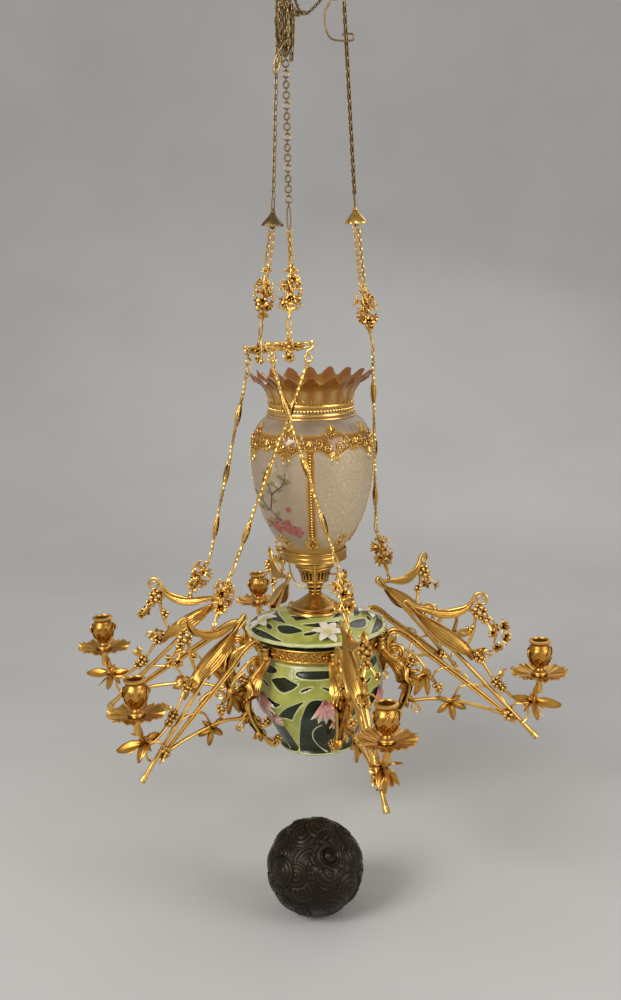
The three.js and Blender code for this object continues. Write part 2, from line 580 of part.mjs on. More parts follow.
// One arm, laid out in the plane through the lamp's axis: [outward, up], for the standard reach
function armPiece(eyeRadius, stretch, bears) {
  const start = ringOuter + seatGap;
  const { rod: rodWire, arch, stem: stemWire, tendril } = armWire;
  const clasp = new THREE.BoxGeometry(6, 13, 2 * ring.halfHeight).translate(start + 3, 0, 0);

  // The hairpin: a straight rod from the arm's end to the top, which turns back as a folded lily leaf.
  const leafRod = sweep(straight(armLines.hairpin), (t) => {
    const i = Math.round(t * (armLines.hairpin.length - 1));
    const [wide, deep] = [rodWire * hairpinWidth[i], rodWire * hairpinDepth[i]];
    return [[wide, 0], [0, deep], [-wide, 0], [0, -deep]];
  }, sideways);

  // The arch: a scroll beside the ring that rises over and runs down to the knuckle.
  const curl = Array.from({ length: scroll.points }, (_, i) => {
    const turn = -2.2 + 1.5 * i;
    const reach = scroll.core + scroll.growth * i;
    return [scroll.out + reach * Math.cos(turn), scroll.up + reach * Math.sin(turn)];
  });
  const archRod = sweep(straight([...curl, ...armLines.arch]), round(arch, 3), sideways);

  // The bracket: an acanthus leaf that bulges round the pot and curls in under its foot.
  const bracketPath = straight([[start + 3, -4], ...armLines.bracket]);
  const bracket = sweep(bracketPath, (t) => {
    const wide = bracketWidth[Math.round(t * (bracketPath.length - 1))];
    return [[wide, 0], [0, 3.5], [-wide, 0], [0, -3.5]];
  }, sideways);

  const lowStem = sweep(straight(armLines.lowStem), round(stemWire, 3), sideways);
  const ivy = star(ivyLeaf.radius, 0.42, 5, 5).rotateX(Math.PI / 2 - 0.5)
    .translate(ivyLeaf.out, -1, ivyLeaf.up);

  // The vine: it leaves the hairpin, curls over, zigzags down past its berries and rises to the spigot.
  const { spigotFoot, seatRadius, spigotRadius, spigotTop } = candle;
  const vineRoute = straight([...armLines.vine, [candle.radius, spigotFoot], [candle.radius, pan.level - 8]]);
  const vine = sweep(vineRoute, round(tendril, 3), sideways);
  const berries = berry(grapes.out, 2, grapes.up, grapes.radius);
  const joint = new THREE.BoxGeometry(knuckle.width, knuckle.width, knuckle.height).rotateY(0.35)
    .translate(knuckle.out, 0, knuckle.up);
  const { out, up, reach, drop: low, spread, width } = candleLeaf;
  const halfway = [(out + reach) / 2 + 2, (up + low) / 2];
  const candleLeaves = blade([[reach, low, -spread], [...halfway, -spread * 0.55], [out, up, 0],
    [...halfway, spread * 0.55], [reach, low, spread]], width, 2, 4);
  const body = joined(leafRod, archRod, clasp, bracket, lowStem, ivy, vine, berries, joint, candleLeaves);
  body.translate(-start, 0, 0).scale(stretch, 1, 1).translate(start, 0, 0);

  const eye = eyeAt(vineLevel + eyeLoop.length, false).translate(eyeRadius, 0, 0);
  const shoulder = pan.level - 3 - seatGap;
  const spigot = turned([[0, spigotFoot], [seatRadius, spigotFoot + 4], [seatRadius, shoulder],
    [spigotRadius, shoulder], [spigotRadius, spigotTop], [0, spigotTop]], 6).translate(candleReach(stretch), 0, 0);
  return joined(body, eye, bears ? spigot : []);
}

function candleReach(stretch) {
  const start = ringOuter + seatGap;
  return start + (candle.radius - start) * stretch;
}

// A leafy drip pan with a hole for the arm's spigot
const spigotBore = candle.spigotRadius + seatGap + 0.4;
function dripPan() {
  const { radius, thickness, hubRadius, lobes } = pan;
  const edge = (reach, z, wave) => Array.from({ length: 2 * lobes }, (_, i) => {
    const turn = (Math.PI * i) / lobes;
    const size = reach * (i % 2 === 0 ? 1 : 1 - wave);
    return new THREE.Vector3(size * Math.cos(turn), size * Math.sin(turn), z + (i % 2 === 0 ? wave * 8 : 0));
  });
  return loft([edge(spigotBore, -3, 0), edge(hubRadius, -3, 0), edge(radius, thickness, 0.25),
    edge(hubRadius, 1, 0), edge(spigotBore, 1, 0)], true);
}

// A candle cup shaped like a bud on a round foot, with its socket above and a bore for the spigot
function candleCup() {
  const { rim, height, rimRadius, bellyRadius, socketRadius, socketDepth } = cup;
  const low = pan.level + 1 + seatGap - rim;
  const boreTop = candle.spigotTop + seatGap - rim;
  return turned([[0, -socketDepth], [socketRadius, -socketDepth], [socketRadius, -1], [rimRadius, 0],
    [bellyRadius, -14], [bellyRadius - 5, -28], [6, -height], [9, low], [spigotBore, low],
    [spigotBore, boreTop], [0, boreTop]], 8);
}

addPiece(lamp, 'carrier_ring', carrierRing(), gilt);
for (const { name, angle, eyeRadius, stretch, candle: bears } of arms) {
  const side = new THREE.Group();
  side.rotation.z = radians(angle - 90);
  lamp.add(side);
  addPiece(side, `arm_${name}`, armPiece(eyeRadius, stretch, bears), gilt);
  if (!bears) continue;
  addPiece(side, `drip_pan_${name}`, dripPan(), gilt).position.set(candleReach(stretch), 0, pan.level);
  addPiece(side, `candle_cup_${name}`, candleCup(), gilt).position.set(candleReach(stretch), 0, cup.rim);
}

// Pot, lid, oil font and the lamp on the lid

function potShell() {
  const { wall, bottom, footRadius, bellyRadius, bellyLevel, neckRadius, top } = pot;
  const flange = ring.halfHeight + seatGap;
  const hip = bellyRadius - 21;
  const outer = [[footRadius, bottom], [footRadius + 10, bottom + 28], [hip, bottom + 55],
    [bellyRadius - 7, bellyLevel - 14], [bellyRadius, bellyLevel + 12], [bellyRadius - 3, bellyLevel + 38],
    [neckRadius, -14], [neckRadius, flange], [flangeRadius, flange], [flangeRadius, top]];
  const inner = [[neckRadius - wall, top], [neckRadius - wall, -14], [bellyRadius - wall, bellyLevel + 22],
    [hip - wall, bottom + 55]];
  const floor = [[footRadius - wall, bottom + wall], [0, bottom + wall]];
  return turned([[0, bottom], ...outer, ...inner, ...floor], 22);
}

function lidShell() {
  const { rimRadius, rimLevel, topRadius, topLevel, thickness, holeRadius } = lid;
  const inside = pot.neckRadius - pot.wall - 2;
  const seatLevel = pot.top + seatGap;
  return turned([[holeRadius, topLevel], [topRadius, topLevel], [70, topLevel - 7], [96, topLevel - 19],
    [rimRadius, rimLevel + 7], [rimRadius - 3, seatLevel], [inside, seatLevel], [inside, rimLevel - 6],
    [inside - 5, rimLevel - 6], [66, topLevel - 8 - thickness], [holeRadius, topLevel - thickness]], 22);
}

// The brass oil font hangs under the lid by its flanged neck.
function oilFont() {
  const { radius, top, height, neckRadius } = font;
  const flange = lid.topLevel + seatGap;
  const low = top - height;
  return turned([[0, low], [radius - 12, low], [radius, low + 16], [radius, top - 12],
    [neckRadius, top + 6], [neckRadius, flange], [neckRadius + 5, flange], [neckRadius + 5, flange + 2],
    [neckRadius - 3, flange + 2], [neckRadius - 3, top + 3], [radius - 5, top - 16], [radius - 5, low + 16],
    [radius - 14, low + 4], [0, low + 4]], 14);
}

function lampFoot() {
  const { radius, height, neckRadius, boreRadius } = foot;
  const base = lid.topLevel + seatGap;
  return turned([[font.neckRadius + 6, base], [radius, base], [radius, base + 4], [radius - 6, base + 8],
    [radius - 14, base + 18], [radius - 24, base + 25], [neckRadius, base + 30], [neckRadius, base + height],
    [boreRadius, base + height], [boreRadius, base + 24], [font.neckRadius + 6, base + 4]], 16);
}

// The burner: a fluted bowl with slots round it, a wick tube and a bearing for the wick's spindle
function burnerBowl() {
  const { base, rim, rimRadius, wall, shelf, slots } = burner;
  const bowl = turned([[foot.boreRadius, base], [9, base], [21, base + 10], [22, base + 16], [27, base + 30],
    [rimRadius, base + 32], [rimRadius, rim], [rimRadius - wall, rim], [rimRadius - wall, rim - shelf],
    [rimRadius - wall - 5, rim - shelf], [18, base + 12], [foot.boreRadius, base + 6]], 14);
  const slot = new THREE.BoxGeometry(14, 2.4, 10);
  const slotCuts = Array.from({ length: slots }, (_, i) => slot.clone().translate(24, 0, base + 22)
    .rotateZ((2 * Math.PI * (i + 0.5)) / slots));
  const bearing = new THREE.CylinderGeometry(knob.shaftRadius + seatGap, knob.shaftRadius + seatGap, 20, 6)
    .rotateZ(Math.PI / 2).translate(26, 0, knob.level).rotateZ(radians(knob.angle - 90));
  const wide = wick.width + 2 * seatGap;
  const thick = wick.thickness + 2 * seatGap;
  const tubeTop = wick.top - 4;
  const tubeFoot = base + 3;
  const tubeHeight = tubeTop - tubeFoot;
  const tubeMiddle = (tubeTop + tubeFoot) / 2;
  const tube = new THREE.BoxGeometry(wide + 2, thick + 2, tubeHeight).translate(0, 0, tubeMiddle);
  const slit = new THREE.BoxGeometry(wide, thick, tubeHeight + 10).translate(0, 0, tubeMiddle);
  return cut(joined(cut(bowl, slotCuts, bearing), tube), slit);
}

function wickKnob() {
  const { radius, reach, shaftRadius, start } = knob;
  return turned([[0, start], [shaftRadius, start], [shaftRadius, reach - 5], [radius, reach - 4],
    [radius, reach], [0, reach]], 8).rotateY(Math.PI / 2);
}

function chimneyTube() {
  const { radius, wall, seatRadius, top } = chimney;
  const base = burner.rim - burner.shelf + seatGap;
  const outer = [[seatRadius, base], [seatRadius, base + 8], [radius + 4, base + 46], [radius - 3, base + 80],
    [radius - 5, top]];
  const inner = outer.map(([r, z]) => [r - wall, z]).reverse();
  return turned([...outer, ...inner], 12);
}

// The shade band and the wires that carry it from a hoop round the burner's neck
function shadeHolder() {
  const { radius, wall, bottom, top, wire } = holder;
  const band = turned([[radius - 6, bottom], [radius, bottom], [radius, top], [radius - wall, top],
    [radius - wall, bottom + wall], [radius - 6, bottom + wall]], 20);
  const hoopLevel = burner.base - 5;
  const hoopRadius = foot.neckRadius + wire + 1.2;
  const hoop = new THREE.TorusGeometry(hoopRadius, wire, 4, 8).translate(0, 0, hoopLevel);
  const wires = Array.from({ length: holder.arms }, (_, i) => sweep(straight([[radius - 3, bottom + 1],
    [radius - 6, bottom - 30], [26, hoopLevel], [hoopRadius, hoopLevel]]),
  round(wire, 3), sideways).rotateZ(radians(holder.turn + (360 * i) / holder.arms)));
  return joined(band, hoop, wires);
}

// The globe: a frosted vase with a ruffled crown. Its wall is one skin carried round both sides.
function globeShell() {
  const { wall, ruffles, rimRadius, tipLevel, dipLevel } = globe;
  const seatLevel = holder.bottom + holder.wall + seatGap;
  const neck = holder.radius - holder.wall - 1;
  const body = [[neck, seatLevel], [neck, holder.top + 1], ...globeOutline];
  const phase = radians(hangers[1].angle + 90);
  const hoop = (radius, level, share) => Array.from({ length: 2 * ruffles }, (_, i) => {
    const dip = (i % 2 === 0 ? 1 : 0) * share;
    const turn = phase + (Math.PI * i) / ruffles;
    const reach = radius - 5 * dip;
    const height = level - dip * (tipLevel - dipLevel);
    return new THREE.Vector3(reach * Math.cos(turn), reach * Math.sin(turn), height);
  });
  const outer = body.map(([r, z]) => hoop(r, z, 0));
  const inner = [[64, 376], [91, 300], [80, 218], [neck, holder.top + 1], [neck, seatLevel]]
    .map(([r, z]) => hoop(r - wall, z, 0));
  return loft([...outer, hoop(rimRadius, tipLevel, 1), hoop(rimRadius - wall, tipLevel, 1), ...inner], true);
}

addPiece(lamp, 'pot', potShell(), majolica);
addPiece(lamp, 'pot_lid', lidShell(), majolica);
addPiece(lamp, 'oil_font', oilFont(), satinBrass);
addPiece(lamp, 'lamp_foot', lampFoot(), satinBrass);
addPiece(lamp, 'burner', burnerBowl(), satinBrass);
const wickStrip = new THREE.BoxGeometry(wick.width, wick.thickness, wick.length);
addPiece(lamp, 'wick', wickStrip, cotton).position.z = wick.top - wick.length / 2;
const knobPiece = addPiece(lamp, 'wick_knob', wickKnob(), satinBrass);
knobPiece.position.z = knob.level;
knobPiece.rotation.z = radians(knob.angle - 90);
addPiece(lamp, 'chimney', chimneyTube(), clearGlass);
addPiece(lamp, 'shade_holder', shadeHolder(), satinBrass);
addPiece(lamp, 'glass_shade', globeShell(), frosted);

// The counterweight stands on the floor in front of the lamp, taken off the chains.

function weightHalf(upper) {
  const { radius, plugRadius, plugDepth } = weight;
  const steps = 5;
  const arc = Array.from({ length: steps }, (_, i) => {
    const turn = (Math.PI / 2) * (i / steps);
    return [radius * Math.cos(turn), Math.max(radius * Math.sin(turn), seatGap / 2)];
  });
  const bore = plugRadius + seatGap;
  const crest = Math.sqrt(radius ** 2 - bore ** 2);
  const top = upper ? [[bore, crest], [bore, radius - plugDepth], [0, radius - plugDepth]] : [[0, radius]];
  const half = turned([[0, seatGap / 2], ...arc, ...top], 16);
  return upper ? half : half.rotateX(Math.PI);
}

function weightPlug() {
  const { radius, plugRadius, plugDepth } = weight;
  const floor = radius - plugDepth + seatGap;
  return turned([[0, floor], [plugRadius, floor], [plugRadius, radius - 2], [plugRadius - 3, radius],
    [0, radius]], 10);
}

const ball = new THREE.Group();
ball.position.set(weightPlace.x, weightPlace.y, -weightPlace.floor + weight.radius);
ball.rotation.set(radians(weight.tilt), 0, radians(weight.turn), 'ZXY');
model.add(ball);
addPiece(ball, 'counterweight_upper', weightHalf(true), bronze);
addPiece(ball, 'counterweight_lower', weightHalf(false), bronze);
addPiece(ball, 'counterweight_plug', weightPlug(), bronze);

export default model;
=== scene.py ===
# %% [markdown]
# A hanging kerosene lamp, dressed for its portrait
#
# The CAD frame gives every place and every moving body. This script dresses it: each casting, chain, glass
# and glazed piece is a mesh made from numpy grids, with a material made of nodes. Sizes are millimetres,
# and piece() turns them into Blender's metres. An angle of 0 points to the front, along -Y, and 90 along
# +X.

# %% Load the frame
import math

import bpy
import numpy as np
from mathutils import Matrix


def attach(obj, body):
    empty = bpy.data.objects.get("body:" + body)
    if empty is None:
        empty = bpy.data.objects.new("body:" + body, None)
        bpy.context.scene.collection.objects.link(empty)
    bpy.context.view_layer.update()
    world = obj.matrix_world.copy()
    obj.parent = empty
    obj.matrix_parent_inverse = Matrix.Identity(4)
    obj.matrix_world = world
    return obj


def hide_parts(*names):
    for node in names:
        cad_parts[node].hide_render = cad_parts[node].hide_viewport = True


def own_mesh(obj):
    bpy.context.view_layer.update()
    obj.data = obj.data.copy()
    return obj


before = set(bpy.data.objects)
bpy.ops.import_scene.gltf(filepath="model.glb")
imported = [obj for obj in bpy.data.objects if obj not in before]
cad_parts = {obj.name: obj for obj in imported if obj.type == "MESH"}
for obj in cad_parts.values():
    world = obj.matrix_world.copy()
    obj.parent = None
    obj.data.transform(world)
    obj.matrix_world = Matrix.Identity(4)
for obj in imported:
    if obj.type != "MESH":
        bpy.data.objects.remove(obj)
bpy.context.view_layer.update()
print("nodes in the frame:", len(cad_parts))

# %% [markdown]
# Sizes that more than one piece needs
#
# The lamp hangs from three chains round one axis, so most places are a radius, an angle and a level. They
# could be read from the frame's boxes, but the angles of the arms and of the patterns can't, so all stand
# here once.

# %% Driving sizes, the same as the CAD model's
DROP = 1033.0                      # ceiling to the middle of the carrier ring
RING_RADIUS = 98.5
RING_INSIDE = 92.3
RING_HALF = 10.0
ARM_START = RING_RADIUS + 0.3
CANDLE_RADIUS = 354.0
PAN_LEVEL = -34.0
CUP_RIM = 18.0
PULLEY_DISTANCE = 48.0
PULLEY_DEPTH = 68.0
CROWN_TWIST = -8.6
SPREADER_LEAN = 8.0
HANGERS = {"front": 344.6, "right": 102.6, "left": 224.6}
TWIN_FACING = {"front": 344.6, "right": 15.0, "left": 340.0}     # the double chains' broad side
ARMS = {                           # angle, reach against the standard arm, and whether it bears a candle
    "front_right": (14.6, 1.0, True),
    "right": (74.6, 0.98, True),
    "back_right": (134.6, 1.0, False),
    "back_left": (197.0, 1.0, True),
    "left": (257.0, 1.02, True),
    "front_left": (311.5, 0.95, True),
}
LID_PHASE = 12.0                   # the angle of one of the lilies on the lid
STRAP_ANGLE = 41.0                 # where the strap with its wire hoop hangs on the carrier ring
TILE_PHASE = -30.5                 # the angle of one of the diamonds on the pot
BALL = {"radius": 67.5, "x": -9.0, "y": -300.0, "floor": 1333.0, "tilt": 52.0, "turn": 24.0}
GLOBE_RUFFLES = 18
print("arms:", len(ARMS), "chains:", len(HANGERS), "ruffles:", GLOBE_RUFFLES)


# %% [markdown]
# Places and paths
#
# A rod, a leaf or a chain follows a line in space. Blender's own curves could hold these lines, but a plain
# row of points is easier to bend, to turn and to read a radius from. A few typed points are joined to a
# smooth row.

# %% Places, circles and paths


def polar(radius, angle, z=0.0):
    """A place from its compass angle: x is the radius times the sine, y minus the radius times the cosine"""
    turn = np.radians(angle)
    return np.stack(np.broadcast_arrays(radius * np.sin(turn), -radius * np.cos(turn), z), -1)


def around(radius, angle, z=0.0):
    """Places from angles in radians that start at +X: the radius times the cosine, then times the sine"""
    return np.stack(np.broadcast_arrays(radius * np.cos(angle), radius * np.sin(angle), z), -1)


def circle(radius, count, z=0.0):
    """A closed ring of points round +Z"""
    return around(radius, np.linspace(0, 2 * np.pi, count, endpoint=False), z)


def spun(spots, angle):
    """Points laid out along +X, turned so that +X points to a compass angle"""
    turn = math.radians(angle - 90.0)
    x, y = spots[..., 0].copy(), spots[..., 1].copy()
    out = spots.copy()
    out[..., 0] = x * math.cos(turn) - y * math.sin(turn)
    out[..., 1] = x * math.sin(turn) + y * math.cos(turn)
    return out


def unit(vector):
    """A direction of length one: the vector over its length"""
    vector = np.asarray(vector, float)
    return vector / np.maximum(np.linalg.norm(vector, axis=-1, keepdims=True), 1e-9)


def resampled(points, count, loop=False):
    """Points spaced evenly along a smooth curve through the given ones. Between two of them the curve is a
    cubic whose slope at each is half the step between its neighbours."""
    p = np.asarray(points, float)
    padded = np.vstack([p[-1], p, p[0], p[1]]) if loop else np.vstack([2 * p[0] - p[1], p, 2 * p[-1] - p[-2]])
    fine = []
    steps = np.linspace(0, 1, 17)[:-1, None]
    for a, b, c, d in zip(padded, padded[1:], padded[2:], padded[3:]):
        fine.append(0.5 * (2 * b + (c - a) * steps + (2 * a - 5 * b + 4 * c - d) * steps ** 2
                           + (3 * b - a - 3 * c + d) * steps ** 3))
    fine = np.vstack(fine + [padded[-2][None]])
    length = np.concatenate([[0], np.cumsum(np.linalg.norm(np.diff(fine, axis=0), axis=1))])
    stops = np.linspace(0, length[-1], count + 1)[:-1] if loop else np.linspace(0, length[-1], count)
    return np.stack([np.interp(stops, length, fine[:, i]) for i in range(3)], 1)


def plane_path(points, count):
    """A path from [outward, up] or [outward, up, sideways] points"""
    return resampled([[q[0], q[2] if len(q) > 2 else 0.0, q[1]] for q in points], count)


def framing(path, side, loop=False):
    """Across and normal directions along a path: across is the side direction less its share along the path,
    and normal is square to both"""
    if loop:
        along = unit(np.roll(path, -1, 0) - np.roll(path, 1, 0))
    else:
        along = unit(np.gradient(path, axis=0))
    side = np.broadcast_to(np.asarray(side, float), along.shape)
    across = unit(side - (side * along).sum(1, keepdims=True) * along)
    return across, np.cross(along, across)


def spiral(centre, start, turns, outer, inner, count=40):
    """A scroll in the arm's plane: the angle grows evenly while the radius shrinks from outer to inner"""
    t = np.linspace(0, 1, count)
    angle = start + turns * 2 * np.pi * t
    radius = outer + (inner - outer) * t ** 0.8
    x, z = centre[0] + radius * np.cos(angle), centre[1] + radius * np.sin(angle)
    return np.stack([x, np.zeros(count), z], 1)


print("the front chain comes down at", polar(PULLEY_DISTANCE, HANGERS["front"]).round(1))

# %% [markdown]
# Surfaces from grids
#
# Every casting, glass and link of the lamp is a closed skin. Blender could make most of them with curves,
# bevels and modifiers. Here each skin is a grid of points, because one formula for the grid holds folds,
# teeth and ribs, and the same few lines serve a hundred links.

# %% Surfaces: skins, bars, berries and turned bodies


class Surface:
    """The grids of one piece: points, faces, and values on the points that the finishes read"""

    def __init__(self):
        self.spots, self.faces, self.count, self.marks = [], [], 0, {}

    def skin(self, grid, around=True, along=False, caps=True, **marks):
        """A grid of rows of points as quads, closed round each row, and along the rows or with end caps"""
        rows, cols = grid.shape[:2]
        self.spots.append(grid.reshape(-1, 3))
        for name in set(self.marks) | set(marks):
            values = marks.get(name, np.zeros(rows * cols))
            self.marks.setdefault(name, [np.zeros(self.count)]).append(np.asarray(values, float).reshape(-1))
        i, j = np.meshgrid(np.arange(rows if along else rows - 1), np.arange(cols if around else cols - 1),
                           indexing="ij")
        k, m = (i + 1) % rows, (j + 1) % cols
        quads = np.stack([i * cols + j, i * cols + m, k * cols + m, k * cols + j], -1).reshape(-1, 4)
        self.faces.extend((quads + self.count).tolist())
        if caps and around and not along:
            first = self.count
            last = self.count + (rows - 1) * cols
            self.faces.append(list(range(first + cols - 1, first - 1, -1)))
            self.faces.append(list(range(last, last + cols)))
        self.count += rows * cols

    def tube(self, path, radius, side=(0, 1, 0), sides=10, flat=1.0, loop=False, twist=0.0, ridge=0.0):
        """A round, flattened, twisted or ridged bar: a ring of points round each point of the path, whose
        radius swells with the cosine of four times the angle where it is ridged"""
        n = len(path)
        radius = np.broadcast_to(np.asarray(radius, float), (n,))
        across, normal = framing(path, side, loop)
        angle = np.linspace(0, 2 * np.pi, sides, endpoint=False)[None] + twist * np.linspace(0, 1, n)[:, None]
        size = radius[:, None] * (1 + ridge * np.cos(4 * (angle - twist * np.linspace(0, 1, n)[:, None])))
        grid = (path[:, None] + across[:, None] * (size * np.cos(angle))[..., None]
                + normal[:, None] * (flat * size * np.sin(angle))[..., None])
        self.skin(grid, along=loop)

    def ball(self, centre, radius, rows=6, columns=8, stretch=1.0, axis=(0, 0, 1)):
        """A berry: rings of latitude round an axis, drawn out along it if stretched"""
        axis = unit(axis)
        across = unit(np.cross(axis, [0.3, 0.9, 0.2]))
        third = np.cross(axis, across)
        lat = np.linspace(-np.pi / 2 + 0.12, np.pi / 2 - 0.12, rows)[:, None]
        lon = np.linspace(0, 2 * np.pi, columns, endpoint=False)[None]
        grid = (np.asarray(centre, float) + (np.cos(lat) * np.cos(lon))[..., None] * radius * across
                + (np.cos(lat) * np.sin(lon))[..., None] * radius * third
                + (np.sin(lat) + 0 * lon)[..., None] * radius * stretch * axis)
        self.skin(grid)

    def lathe(self, profile, sides=64, centre=(0, 0, 0), count=None, wave=None, closed=False):
        """A profile of [radius, height] points turned round +Z. wave(angle, share) scales the radius."""
        flat = [[r, 0, z] for r, z in profile]
        line = resampled(flat, count, closed) if count else np.array(flat, float)
        angle = np.linspace(0, 2 * np.pi, sides, endpoint=False)[None]
        share = np.linspace(0, 1, len(line))[:, None]
        radius = line[:, 0][:, None] * (wave(angle, share) if wave else 1.0)
        grid = around(radius, angle, line[:, 2][:, None])
        self.skin(grid + np.asarray(centre, float), along=closed, caps=not closed)


sample = Surface()
sample.ball((0, 0, 0), 1.0)
print("a berry has", len(sample.faces), "faces")

# %% [markdown]
# Leaves
#
# The castings are mostly leaves: narrow ones, lily leaves folded over a rod, and lobed ones like ivy. They
# could be sculpted, but each would be a long job. A path with a width is enough for the narrow ones, an arc
# over a path for the folded ones, and an outline round a centre for the lobed ones.

# %% Leaves: blades, saddles and lobed leaves


class Leafage(Surface):
    """A Surface that also makes leaves"""

    def blade(self, path, width, side=(0, 1, 0), thickness=1.4, fold=0.3, ribs=3, rib=0.12, columns=9):
        """A leaf along a path, with the given half widths. It is lifted from its midrib by fold times the
        width, waved by its ribs, and its edge is round because the thickness follows a half circle."""
        n = len(path)
        width = np.asarray(width, float)
        across, normal = framing(path, side)
        v = np.linspace(-1, 1, columns)[None]
        lift = fold * width[:, None] * np.abs(v) ** 1.3 + rib * width[:, None] * np.cos(ribs * np.pi * v)
        half = 0.5 * thickness * np.sqrt(np.maximum(1 - v ** 2, 0.02)) * np.ones((n, 1))
        base = path[:, None] + across[:, None] * (width[:, None] * v)[..., None]
        top = base + normal[:, None] * (lift + half)[..., None]
        low = base + normal[:, None] * (lift - half)[..., None]
        tip = np.linspace(0, 1, n)[:, None] + 0 * v
        vein = np.cos(4 * np.pi * v) + 0 * tip
        self.skin(np.concatenate([low, top[:, ::-1]], 1), tip=np.concatenate([tip, tip], 1),
                  vein=np.concatenate([vein, vein], 1))

    def saddle(self, path, wide, deep, opening=1.9, ribs=7, rib=0.5, thickness=1.3, columns=21):
        """A leaf folded over its midrib like a saddle: each cross-section is an arc that runs from one
        hanging edge over the path to the other, as wide and as deep as given, with ribs along the leaf."""
        across, normal = framing(path, (0, 1, 0))
        down = np.where(normal[:, 2:] > 0, -normal, normal)
        v = np.linspace(-1, 1, columns)[None]
        arc = v * opening
        shells = []
        for inset in (0.0, thickness):
            w = np.maximum(np.asarray(wide, float) - inset, 0.3)[:, None]
            d = np.maximum(np.asarray(deep, float) - inset * 0.3, 0.3)[:, None]
            wave = rib * np.cos(ribs * np.pi * v) * np.minimum(d / 8, 1)
            drop = d * (1 - np.cos(arc)) / (1 - math.cos(opening)) + inset
            reach = (w + wave) * np.sin(arc)
            aside, below = across[:, None] * reach[..., None], down[:, None] * drop[..., None]
            shells.append(path[:, None] + aside + below)
        self.skin(np.concatenate([shells[0][:, ::-1], shells[1]], 1))

    def leaf(self, centre, facing, up, lobes, thickness=2.6):
        """A leaf of pointed lobes round a centre. Each lobe is (direction in degrees from up, length, half
        angle), and the outline's radius at an angle is the longest lobe's length times a power of how near
        the angle is to that lobe's middle. Both faces swell along the lobes' midribs."""
        facing = unit(facing)
        first = unit(np.asarray(up, float) - (np.asarray(up, float) @ facing) * facing)
        second = np.cross(facing, first)
        angle = np.linspace(-180, 180, 84, endpoint=False)[None]
        share = np.linspace(0.03, 1, 12)[:, None]
        longest = max(length for _, length, _ in lobes)
        radius, ridge = 0.16 * longest + 0 * angle, 0 * angle
        for middle, length, spread in lobes:
            off = np.abs((angle - middle + 180) % 360 - 180) / spread
            reach = length * np.clip(1 - off, 0, 1) ** 0.85
            ridge = np.where(reach > radius, np.clip(1 - 2.2 * off, 0, 1), ridge)
            radius = np.maximum(radius, reach)
        half = thickness * (0.3 + 0.45 * ridge * np.sqrt(1 - 0.9 * share) + 0.35 * (1 - share))
        fall = -0.1 * radius * share ** 2
        turn = np.radians(angle)
        flat = ((radius * share * np.cos(turn))[..., None] * first
                + (radius * share * np.sin(turn))[..., None] * second)
        base = np.asarray(centre, float) + flat + fall[..., None] * facing
        top, low = base + half[..., None] * facing, base - half[..., None] * facing
        self.skin(np.concatenate([low[:, ::-1], top[::-1, ::-1]]), along=True)


sample = Leafage()
sample.leaf((0, 0, 0), (0, 1, 0), (0, 0, 1), [(0, 20, 40), (90, 15, 30), (-90, 15, 30)])
print("a lobed leaf has", len(sample.faces), "faces")

# %% [markdown]
# Links and flowers
#
# A chain could be a pattern on a tube, but its links show against the light. So each is a wire bent to an
# oval that grips the next. Lilies, buds and grapes are gathered from blades, bars and balls, as a founder
# too builds castings from a few patterns.

# %% Links, chains, lilies, buds and grapes


